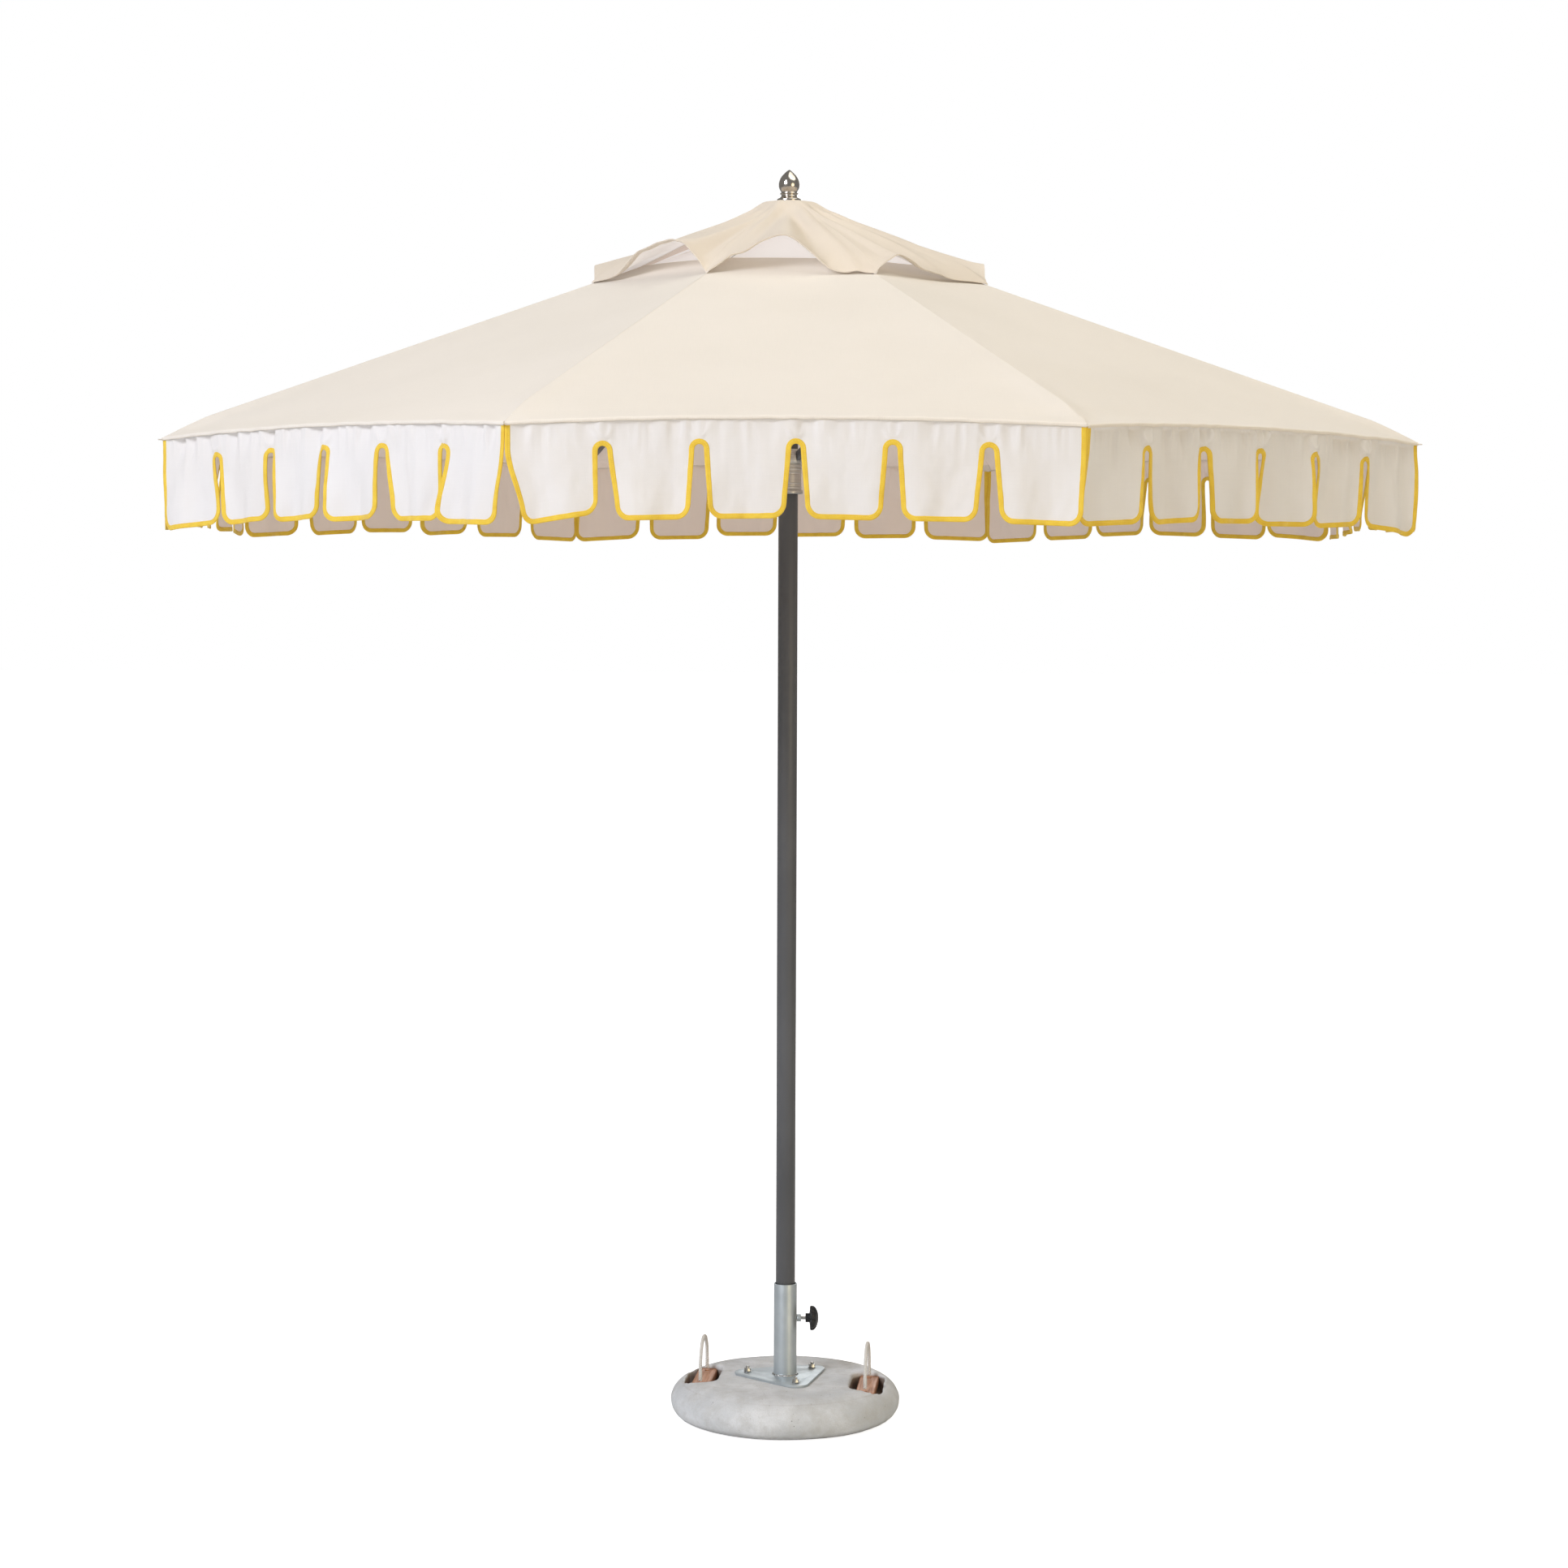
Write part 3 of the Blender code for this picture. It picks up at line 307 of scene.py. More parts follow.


def cast_concrete():
    """Pale concrete: mottled, with pin holes, fine sand and darker brown hand pockets. Painted shade darkens
    its foot.
    """
    shader = Shader("concrete", roughness=0.88)
    clouds = shader.noise(7.0, 6.0, (1, 1, 1.6), roughness=0.62)
    patches = shader.noise(24.0, 6.0, roughness=0.7)
    pale = shader.tone(clouds, 0.38, 0.62, rgb(232, 234, 235), rgb(209, 212, 213))
    body = shader.mix(shader.steps(patches, 0.45, 0.7, 0.0, 0.8), pale, rgb(200, 200, 196))
    sand = shader.noise(420.0, 3.0, roughness=0.7)
    grained = shader.mix(shader.steps(sand, 0.35, 0.75, 0.0, 0.35), body, rgb(184, 184, 181))
    spots = shader.cells(95.0)
    chance = shader.steps(shader.noise(38.0, 2.0), 0.56, 0.62)
    hole = shader.sum("MULTIPLY", shader.steps(spots, 0.16, 0.06), chance)
    square = shader.sum("POWER", shader.axis("Y"), 2.0)
    plan = shader.sum("MULTIPLY_ADD", shader.axis("X"), shader.axis("X"), square)
    inside = shader.steps(shader.sum("SQRT", plan), POCKET_WALL + 2.5 * MM, POCKET_WALL - 2.5 * MM)
    height = shader.axis("Z")
    below = shader.steps(height, BASE_HIGH.z - 8 * MM, BASE_HIGH.z - 13 * MM)
    above = shader.steps(height, POCKET_BROWN_FOOT - 5 * MM, POCKET_BROWN_FOOT + 5 * MM)
    # The hand pockets are coloured darker brown inside
    pocket_brown = shader.sum("MULTIPLY", shader.sum("MULTIPLY", inside, below), above)
    pocket_brown = shader.sum("MULTIPLY", pocket_brown, shader.steps(patches, 0.2, 0.5, 0.6, 0.95))
    # Painted shade: darker towards the foot of the disc, near the floor
    foot = shader.steps(height, 0.016, 0.002, 0.0, 0.55)
    darker = shader.mix(foot, shader.mix(pocket_brown, grained, rgb(142, 126, 112)), rgb(138, 135, 130))
    shader.set("Base Color", shader.mix(hole, darker, rgb(156, 155, 151)))
    shader.set("Roughness", shader.steps(patches, 0.3, 0.7, 0.8, 0.94))
    shader.bump(sand, 0.35 * MM, 0.5)
    shader.dent(hole, 1.5 * MM, 0.7)
    shader.bump(patches, 1.5 * MM, 0.25)
    return shader.material


def oiled_wood():
    """Warm hardwood whose grain runs along the slats."""
    shader = Shader("wood", roughness=0.5, coat=0.08)
    turn = shader.add("VectorRotate", Vector=shader.coordinate.outputs["Object"],
                      Angle=-math.atan2(HANDLE_LINE.y, HANDLE_LINE.x))
    turn.rotation_type = "Z_AXIS"
    place = shader.add("Mapping", Vector=turn.outputs[0], Scale=(9, 210, 210)).outputs[0]
    grain = shader.add("TexNoise", Vector=place, Scale=1.0, Detail=5.0, Distortion=0.6)
    fibre = grain.outputs["Fac"]
    bands = shader.noise(26.0, 2.0)
    body = shader.tone(fibre, 0.34, 0.66, rgb(204, 148, 108), rgb(168, 112, 76))
    shader.set("Base Color", shader.mix(shader.steps(bands, 0.35, 0.75, 0.0, 0.4), body, rgb(142, 90, 60)))
    shader.set("Roughness", shader.steps(fibre, 0.3, 0.7, 0.42, 0.62))
    shader.bump(fibre, 0.35 * MM, 0.5)
    return shader.material


def rope_fibre():
    shader = Shader("rope", roughness=0.7, sheen=0.2)
    strand = shader.noise(1.0, 3.0, (1600, 1600, 380))
    fibre = shader.tone(strand, 0.35, 0.65, rgb(206, 202, 196), rgb(240, 238, 232))
    # Painted shade: darker grey where the surface is hollow, in the grooves between the strands
    groove_shade = shader.steps(shader.add("NewGeometry").outputs["Pointiness"], 0.47, 0.53)
    shader.set("Base Color", shader.mix(groove_shade, rgb(150, 145, 138), fibre))
    shader.bump(strand, 0.3 * MM, 0.7)
    return shader.material


CREAM = rgb(232, 223, 211)
CREAM_SHADE = rgb(226, 217, 204)
WHITE_CANVAS = rgb(236, 232, 229)
WHITE_SHADE = rgb(232, 226, 220)
# Painted shade: a darker, warmer copy of the canvas colours for the cloth's undersides
UNDERSIDE_SHADED = rgb(230, 216, 205)
UNDERSIDE_SHADED_DARKER = rgb(224, 209, 198)
YELLOW = rgb(240, 203, 62)
YELLOW_SHADE = rgb(232, 190, 52)

MAT = {
    "canopy": canvas("canvas_canopy", CREAM, CREAM_SHADE),
    # Painted shade and light: the undersides get that darker copy and glow; the vent's underside is paler
    # and glows more, emission standing in for daylight through the cloth
    "underside_shade_and_glow": canvas("canvas_underside", UNDERSIDE_SHADED, UNDERSIDE_SHADED_DARKER, painted_glow=0.13),
    "vent": canvas("canvas_vent_underside", rgb(230, 227, 225), rgb(224, 219, 217), painted_glow=0.37),
    "cap": canvas("canvas_cap", rgb(226, 213, 196), rgb(217, 203, 186)),
    "valance": canvas("canvas_valance", WHITE_CANVAS, WHITE_SHADE, 5.0),
    "binding": tape("yellow_binding", YELLOW, YELLOW_SHADE, 6.6 * MM, rgb(248, 216, 88)),
    "hem": hem_material("canvas_hem", rgb(241, 233, 222), rgb(233, 223, 210), (11 * MM,)),
    "seam": hem_material("canvas_seam", CREAM, CREAM_SHADE, (2 * MM, 9 * MM)),
    "charcoal": hard_finish("charcoal_paint", 0.42, 0.0, (7.0, 4.0, (1, 1, 0.4)), 0.35,
                            (rgb(78, 79, 81), rgb(94, 95, 97)), (0.3, 0.7, 0.34, 0.5), 420.0, 0.15, 0.35),
    "zinc": galvanised(),
    "steel": hard_finish("steel", 0.24, 1.0, (160.0, 4.0), 0.4, (rgb(205, 205, 202), rgb(150, 150, 148)),
                         (0.3, 0.7, 0.18, 0.4), 600.0, 0.08, 0.4),
    # Turned aluminium, with fine lines round the axis
    "brushed": hard_finish("brushed_aluminium", 0.3, 1.0, (1.0, 3.0, (6, 6, 1400)), 0.3,
                           (rgb(178, 174, 168), rgb(222, 219, 214)), (0.3, 0.7, 0.24, 0.42), None, 0.1, 0.5),
    "nickel": hard_finish("nickel", 0.14, 1.0, (45.0, 5.0), 0.4, (rgb(206, 200, 192), rgb(176, 168, 158)),
                          (0.35, 0.7, 0.1, 0.26), 500.0, 0.05, 0.3),
    "plastic": moulded_plastic(),
    "concrete": cast_concrete(),
    "wood": oiled_wood(),
    "rope": rope_fibre(),
}


# ---- Mesh helpers ----


def add_object(name, mesh):
    made = bpy.data.objects.new(name, mesh)
    bpy.context.scene.collection.objects.link(made)
    return made


def smooth(mesh, degrees):
    mesh.shade_smooth()
    mesh.set_sharp_from_angle(angle=math.radians(degrees))


def apply_modifiers(made):
    graph = bpy.context.evaluated_depsgraph_get()
    mesh = bpy.data.meshes.new_from_object(made.evaluated_get(graph), depsgraph=graph)
    made.modifiers.clear()
    made.data = mesh
    return made


def add_face(shape, layer, corners, uvs):
    face = shape.faces.new(corners)
    face.smooth = True
    for loop, uv in zip(face.loops, uvs):
        loop[layer].uv = uv


def mesh_of(name, shape, materials):
    mesh = bpy.data.meshes.new(name)
    shape.to_mesh(mesh)
    shape.free()
    for material in materials:
        mesh.materials.append(material)
    return mesh


def round_edges(made, width):
    edge = made.modifiers.new("edges", "BEVEL")
    edge.width = width
    edge.segments = 2
    edge.limit_method = "ANGLE"
    edge.angle_limit = math.radians(30)


def grid_mesh(name, rows, uvs, materials, closed_rows=False):
    """A sheet through rows of points. uvs has the same layout, in metres."""
    shape = bmesh.new()
    layer = shape.loops.layers.uv.new("UVMap")
    grid = [[shape.verts.new(point) for point in row] for row in rows]
    count = len(rows[0])
    spans = range(count if closed_rows else count - 1)
    for low, high, low_uv, high_uv in zip(grid, grid[1:], uvs, uvs[1:]):
        for i in spans:
            j = (i + 1) % count
            add_face(shape, layer, (low[i], low[j], high[j], high[i]),
                     (low_uv[i], low_uv[j], high_uv[j], high_uv[i]))
    return mesh_of(name, shape, materials)


def thickened(name, mesh, thickness, offset, rim=1):
    """An object from a sheet whose second material is that of the added face."""
    made = add_object(name, mesh)
    step = made.modifiers.new("thickness", "SOLIDIFY")
    step.thickness = thickness
    step.offset = offset
    step.material_offset = 1
    step.material_offset_rim = rim
    apply_modifiers(made)
    smooth(made.data, 60)
    return made


def solid_sheet(name, rows, uvs, outer, inner, thickness=FABRIC):
    """A sheet that is thickened upwards from its underside."""
    return thickened(name, grid_mesh(name, rows, uvs, (inner, outer)), thickness, -1)


def side_azimuth(number):
    return FRONT + (number - 1) * STEP


def rib_azimuth(number):
    return side_azimuth(number) - HALF_STEP


def side_before(rib):
    return (rib - 2) % SIDES + 1


def turned_to(azimuth, point):
    """From a frame whose X points outwards to the row's frame."""
    x, y, z = point
    cosine, sine = math.cos(azimuth), math.sin(azimuth)
    return Vector((x * cosine - y * sine, x * sine + y * cosine, z))


def ease(value, low, high):
    """0 below low, 1 above high, smooth in between."""
    share = min(max((value - low) / (high - low), 0.0), 1.0)
    return share * share * (3 - 2 * share)


def ripple(x, y=0.0, z=0.0):
    return noise.noise(Vector((x, y, z)))


def spread(count, low=0.0, high=1.0):
    return [low + (high - low) * i / (count - 1) for i in range(count)]


def closer_at_ends(count):
    """-1 to 1, closer together near the ends."""
    places = [t + 0.12 * math.sin(math.pi * t) / math.pi for t in spread(count, -1, 1)]
    return [math.sin(math.pi / 2 * t) for t in places]


def turns(count):
    """Angles of a full turn in equal steps."""
    return [2 * math.pi * i / count for i in range(count)]


def on_ring(radius, turn, height=0.0):
    return Vector((radius * math.cos(turn), radius * math.sin(turn), height))


def upwards(height):
    return Vector((0, 0, height))


def half_chord(radius):
    """Half the width of a side at that distance along its ribs."""
    return radius * math.sin(HALF_STEP)


# ---- Main canopy ----


def rib_line(radius):
    """Height of the fabric over a rib's straight part."""
    rim = RIM_HEIGHT + TIP_DROP
    return rim + (RIM_RADIUS - radius) * RIB_SLOPE


def rim_lift(across):
    """How far the rim stands above its corners."""
    return TIP_DROP * (1 - across * across) + 1.0 * MM * (1 - across**8)


def canopy_point(side, radius, across):
    """A point of a gore: radius is along the ribs, and across runs from -1 at one rib to 1 at the next."""
    half = half_chord(radius)
    from_rib = (1 - abs(across)) * half
    run = (radius - VENT_RADIUS) / (RIM_RADIUS - VENT_RADIUS)
    from_rim = RIM_RADIUS - radius
    corner = 1 - from_rim / KNEE
    height = rib_line(radius)
    if corner > 0:
        height -= (TIP_DROP - rim_lift(across)) * corner**1.3
    sag = 7 * MM * (1 - across * across) * math.sin(math.pi * run) ** 0.8
    over_tip = ease(radius, 0.95, 1.27) * ease(from_rim, 0.0, 0.05)
    tip = 6.5 * MM * over_tip * (1 - math.exp(-((from_rib / 0.035) ** 2))) * math.exp(-from_rib / 0.2)
    seed = 7.3 * side
    slack = 2.2 * MM * ripple(radius * 2.2, across * half * 7, seed) * (1 - across**6)
    drag = 1.6 * MM * ripple(radius * 5 - abs(across) * half * 14, across * 3, seed + 4)
    drag *= math.exp(-from_rib / 0.12)
    pucker = 0.9 * MM * math.exp(-from_rib / 0.022) * ripple(radius * 46, seed + across)
    pucker *= ease(from_rib, 0.0, 0.008)
    rim_gather = 1.6 * MM * math.exp(-from_rim / 0.03) * ripple(across * half * 34, from_rim * 12, seed + 9)
    rim_gather *= 1 - across**8
    lift = -sag - tip + slack * ease(from_rim, 0.0, 0.1) + drag * ease(run, 0.2, 0.9) + pucker + rim_gather
    x = radius * math.cos(HALF_STEP) + lift * math.sin(SLOPE)
    return turned_to(side_azimuth(side), (x, across * half, height + lift * math.cos(SLOPE)))


CANOPY_ROWS = 96
CANOPY_COLUMNS = 97


def gore_sheet(name, side, point_of, steps, columns, outer, inner, thickness=FABRIC, end=1.0):
    """A sheet over a gore, with UVs in metres across and along it. The columns are scaled by end."""
    rows = [[point_of(side, radius, across * end) for across in columns] for radius in steps]
    uvs = [[(across * half_chord(radius), radius) for across in columns] for radius in steps]
    return solid_sheet(name, rows, uvs, MAT[outer], MAT[inner], thickness)


def canopy_gore(side):
    steps = [VENT_RADIUS + (RIM_RADIUS - VENT_RADIUS) * t**0.85 for t in spread(CANOPY_ROWS)]
    columns = closer_at_ends(CANOPY_COLUMNS)
    name = f"canopy_gore_{side}"
    made = gore_sheet(name, side, canopy_point, steps, columns, "canopy", "underside_shade_and_glow", end=GORE_END)
    fold_with_panel(made, side)
    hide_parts(f"canopy_panel_{side}")


def settle(made, body, replaced=None):
    """Names the body a piece rides on and hides the CAD node it stands for."""
    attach(made, body)
    if replaced:
        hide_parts(replaced)


def finish_soft(made, body):
    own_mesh(made)
    settle(made, body)


def fold_with_panel(made, side):
    finish_soft(made, f"panel_{side}")


def swept(name, rings, uvs, materials, degrees):
    """A closed section carried along a line of rings, capped at both ends."""
    mesh = grid_mesh(name, rings, uvs, materials, closed_rows=True)
    shape = bmesh.new()
    shape.from_mesh(mesh)
    shape.verts.ensure_lookup_table()
    count = len(rings[0])
    last = len(rings) * count
    shape.faces.new([shape.verts[i] for i in reversed(range(count))])
    shape.faces.new([shape.verts[i] for i in range(last - count, last)])
    bmesh.ops.recalc_face_normals(shape, faces=shape.faces)
    shape.to_mesh(mesh)
    shape.free()
    made = add_object(name, mesh)
    smooth(mesh, degrees)
    return made


def seam(name, rib, point_of, steps, width, end, heights_at):
    """Flat-felled seam over a rib: it follows the gores on both sides."""
    rings, uvs = [], []
    for radius in steps:
        share = 1 - width / half_chord(radius)
        left, right = point_of(side_before(rib), radius, share), point_of(rib, radius, -share)
        top = point_of(rib, radius, -end)
        side_up, top_up, side_down, top_down = (upwards(height) for height in heights_at(radius))
        rings.append([left + side_down, left + side_up, top + top_up, right + side_up,
                      right + side_down, top + top_down])
        uvs.append([(radius, y * MM) for y in SEAM_UVS])
    made = swept(name, rings, uvs, (MAT["seam"],), 70)
    settle(made, f"rib_{rib}")


def seam_cover(rib):
    def heights_at(radius):
        up = 0.7 * MM + 0.12 * MM * ripple(radius * 260, rib)
        return up * 0.7, up * 1.25, -0.4 * MM, -0.4 * MM

    steps = spread(150, VENT_RADIUS + 1 * MM, RIM_RADIUS - 1 * MM)
    seam(f"canopy_seam_{rib}", rib, canopy_point, steps, 5.5 * MM, GORE_END, heights_at)


def pocket(name, rib, point_of, steps, width_at, end, gap, outer):
    """Seam allowance under a rib line. It is wide near the vent, where it closes the folded canopy."""
    rows, uvs = [], []
    for radius in steps:
        half = half_chord(radius)
        width = width_at(radius)
        row = []
        for t in spread(9, -1, 1):
            share = min(1 - abs(t) * width / half, end)
            point = point_of(side_before(rib) if t < 0 else rib, radius, -math.copysign(share, t))
            row.append(point - upwards(FABRIC + gap))
        rows.append(row)
        uvs.append([(t * width, radius) for t in spread(9, -1, 1)])
    made = solid_sheet(name, rows, uvs, outer, MAT["underside_shade_and_glow"], THIN_FABRIC)
    settle(made, f"rib_{rib}")


def seam_pocket(rib):
    def width_at(radius):
        run = (radius - VENT_RADIUS) / (RIM_RADIUS - VENT_RADIUS)
        return 26 * MM * (1 - run) + 9 * MM * run

    steps = spread(70, VENT_RADIUS + 2 * MM, RIM_RADIUS - 6 * MM)
    pocket(f"rib_pocket_{rib}", rib, canopy_point, steps, width_at, GORE_END, 0.5 * MM, MAT["underside_shade_and_glow"])


def rim_hem(side):
    """Rolled hem along a side of the rim, over the valance's top edge."""
    rings, uvs = [], []
    section = [(0.6, 1.5), (2.6, 0.9), (3.3, -1.2), (3.1, -4.0), (1.9, -5.6), (0.4, -5.2), (-0.2, -2.0)]
    previous, length = None, 0.0
    for across in closer_at_ends(150):
        centre = canopy_point(side, RIM_RADIUS, across * 0.998)
        length += (centre - previous).length if previous else 0.0
        previous = centre
        outward = turned_to(side_azimuth(side), (1, 0, 0))
        swell = 1 + 0.18 * ripple(length * 70, side * 3.1)
        rings.append([centre + outward * (x * MM * swell) + upwards(z * MM) for x, z in section])
        uvs.append([(length, (3.5 - z) * MM) for x, z in section])
    made = swept(f"rim_hem_{side}", rings, uvs, (MAT["hem"],), 80)
    fold_with_panel(made, side)


def tip_pocket(rib):
    """Small folded point of fabric that holds the end of a rib."""
    azimuth = rib_azimuth(rib)
    corner = Vector((RIM_RADIUS, 0, RIM_HEIGHT))
    rings, uvs = [], []
    for t in spread(12):
        out = -30 * MM + 40 * MM * t
        width = (11 - 7.5 * t**2) * MM
        height = (2.4 - 1.2 * t) * MM
        z = 3.4 * MM * (1 - t) ** 1.5 + (0.45 * 30 * MM) * max(0.0, -out / (30 * MM))
        ring = []
        for turn in turns(12):
            point = corner + Vector((out, width * math.cos(turn), z - 3 * MM + height * math.sin(turn)))
            ring.append(turned_to(azimuth, point))
        rings.append(ring)
        uvs.append([(out, i * 3 * MM) for i in range(12)])
    made = swept(f"tip_pocket_{rib}", rings, uvs, (MAT["seam"],), 60)
    settle(made, f"rib_{rib}")


# ---- Vent cap ----

CAP_TOP = CAP_HIGH.z
CAP_LINE = [(0.000, 0.0), (0.054, 0.0), (0.066, 0.006), (0.090, 0.022), (0.150, 0.049), (0.250, 0.085),
            (0.350, 0.124), (0.420, 0.150), (0.449, 0.158)]
# Height of each gore's edge above its tied corners, in mm, at places across it from -1 to 1
CAP_EDGE = {
    1: ((-1, 0), (-0.69, 36), (-0.48, 53), (-0.28, 73), (-0.11, 82), (0.03, 73), (0.16, 53), (0.29, 36),
        (0.46, 10), (0.56, 1), (1, 0)),
    2: ((-1, 0), (-0.88, 21), (-0.72, 35), (-0.56, 42), (-0.4, 36), (-0.2, 22), (0, 12), (0.2, 5), (0.35, 1),
        (0.6, 4), (1, 0)),
    3: ((-1, 0), (-0.6, 18), (-0.25, 46), (0.1, 62), (0.5, 40), (0.8, 10), (1, 0)),
    4: ((-1, 0), (-0.7, 30), (-0.4, 55), (0, 48), (0.35, 60), (0.7, 34), (1, 0)),
    5: ((-1, 0), (-0.75, 12), (-0.4, 40), (-0.1, 66), (0.25, 58), (0.6, 20), (0.8, 2), (1, 0)),
    6: ((-1, 0), (-0.7, 36), (-0.35, 58), (0, 40), (0.3, 30), (0.65, 44), (0.85, 22), (1, 0)),
    7: ((-1, 0), (-0.8, 22), (-0.5, 50), (-0.15, 60), (0.2, 38), (0.5, 14), (0.75, 6), (1, 0)),
    8: ((-1, 0), (-0.63, 7), (-0.47, 23), (-0.29, 41), (-0.17, 52), (0.04, 58), (0.24, 70), (0.39, 74),
        (0.56, 69), (0.68, 59), (0.8, 43), (0.9, 16), (1, 0)),
}
CAP_TIE = 29 * MM  # how far a corner is tied down below the cap's own slope
# Creases from the top to the edge: place across at the top and at the edge, width and height in mm
CAP_CREASES = {
    1: ((-0.85, -0.72, 13, 5), (-0.45, -0.55, 22, -6), (-0.15, -0.05, 20, 3), (0.6, 0.78, 15, 6),
        (0.2, 0.42, 24, -6)),
    2: ((-0.7, -0.62, 14, 6), (-0.3, -0.2, 22, -5), (0.35, 0.15, 16, 4), (0.75, 0.6, 18, -3)),
    8: ((0.85, 0.62, 12, 5), (0.5, 0.3, 20, -5), (0.0, -0.2, 16, 4), (-0.5, -0.55, 20, -4)),
}


def cap_creases(side):
    if side in CAP_CREASES:
        return CAP_CREASES[side]
    draw = random.Random(70 + side)
    starts = (-0.7, -0.25, 0.25, 0.7)
    return tuple((a, a + draw.uniform(-0.25, 0.25), draw.uniform(13, 22), draw.uniform(3, 6) * (-1) ** i)
                 for i, a in enumerate(starts))


CAP_CREASE = 1.5  # times the table's heights
CAP_FOLDS = {side: cap_creases(side) for side in range(1, SIDES + 1)}


def between(points, place):
    """Value at that place on the line through (place, value) points."""
    for (x0, y0), (x1, y1) in zip(points, points[1:]):
        if place <= x1:
            return y0 + (y1 - y0) * max(place - x0, 0.0) / (x1 - x0)
    return points[-1][1]


def cap_edge(side, across):
    """Height of a gore's edge above its corners, rounded off between the table's places."""
    reach = min(0.11, 1 - abs(across))
    samples = [between(CAP_EDGE[side], across + reach * t) for t in spread(7, -1, 1)]
    return sum(samples) / len(samples) * MM


def cap_drop(radius):
    """Depth of the cap's rib lines below its top, rounded off between the points of its profile."""
    reach = 9 * MM
    samples = [between(CAP_LINE, min(max(radius + reach * t, 0.0), CAP_RADIUS)) for t in spread(9, -1, 1)]
    return sum(samples) / len(samples)


def cap_point(side, radius, across):
    """A point of the vent cap, tied down at its corners and slack between them."""
    half = half_chord(radius)
    across = max(-1.0, min(1.0, across))
    run = ease(radius, 0.07, CAP_RADIUS)
    out = max(0.0, (radius - 0.07) / (CAP_RADIUS - 0.07))
    edge = cap_edge(side, across) - CAP_TIE
    lift = max(edge, 0.0) * out**1.5 + min(edge, 0.0) * out**9
    inner = 1 - across**8
    crease = 1.6 * MM * run * ripple(across * 5, radius * 6, side * 5.7) * (1 - across**4)
    for first, last, width, height in CAP_FOLDS[side]:
        away = (across - (first + (last - first) * out)) * half / (width * MM)
        fade = ease(radius, 0.048, 0.12) * (1 - 0.5 * out) * inner
        crease += CAP_CREASE * height * MM * math.exp(-away * away) * fade
    from_edge = CAP_RADIUS - radius
    curl = -4 * MM * math.exp(-from_edge / 0.018) * inner * math.sin(side * 2.1 + across * 4)
    curl *= ease(edge, 0.0, 0.02)
    z = CAP_TOP - cap_drop(radius) + lift + crease + curl
    x = radius * math.cos(HALF_STEP) + 0.12 * lift * inner
    return turned_to(side_azimuth(side), (x, across * half, z))


CAP_START = 0.052
LINER_START = 0.067
CAP_PATCH = 0.118
POCKET_START = 0.085


def cap_gore(side):
    steps, columns = spread(56, CAP_START, CAP_RADIUS), closer_at_ends(61)
    made = gore_sheet(f"vent_gore_{side}", side, cap_point, steps, columns, "cap", "vent", end=CAP_END)
    fold_with_panel(made, side)


def liner_point(side, radius, across):
    sag = 3.0 * MM * (1 - across * across) + 1.2 * MM * ripple(radius * 12, across * 3, side * 4.1)
    lift = -1.8 * MM - sag * ease(radius, LINER_START, 0.2)
    x = radius * math.cos(HALF_STEP) + lift * math.sin(SLOPE)
    z = rib_line(radius) + lift * math.cos(SLOPE)
    return turned_to(side_azimuth(side), (x, across * half_chord(radius), z))


def vent_liner(side):
    """Pale cloth just above the ribs, from the vent's edge to the hub."""
    steps = spread(18, LINER_START, VENT_RADIUS + 5 * MM)
    columns = spread(25, -0.985, 0.985)
    made = gore_sheet(f"vent_liner_{side}", side, liner_point, steps, columns, "vent", "underside_shade_and_glow", THIN_FABRIC)
    fold_with_panel(made, side)


COLLAR_START = 0.040
COLLAR_END = 0.150
COLLAR_GAP = 2.4 * MM


def vent_collar(side):
    """Cloth under the crown's patch that closes the cap over the hub."""

    def point_of(side, radius, across):
        return cap_point(side, radius, across) - upwards(COLLAR_GAP)

    steps, columns = spread(30, COLLAR_START, COLLAR_END), spread(15, -0.99, 0.99)
    made = gore_sheet(f"vent_collar_{side}", side, point_of, steps, columns, "cap", "vent", THIN_FABRIC)
    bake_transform(made)


def cap_crown():
    """The cap's centre, clamped under the finial: one patch over the tops of the gores."""
    radii = spread(5, 0.0135, 0.050) + spread(26, 0.054, CAP_PATCH)
    columns = spread(31, -1, 1)[:-1]
    rows, uvs = [], []
    for radius in radii:
        up = 0.7 * MM + 0.25 * MM * ease(CAP_PATCH - radius, 0.0, 0.01)
        row = []
        for side in range(1, SIDES + 1):
            for across in columns:
                row.append(cap_point(side, radius, across) + upwards(up))
        rows.append(row)
        uvs.append([(p.x, p.y) for p in row])
    mesh = grid_mesh("vent_crown", rows, uvs, (MAT["cap"], MAT["cap"]), closed_rows=True)
    made = thickened("vent_crown", mesh, THIN_FABRIC, -1, rim=0)
    settle(made, "pole", "vent_cap")


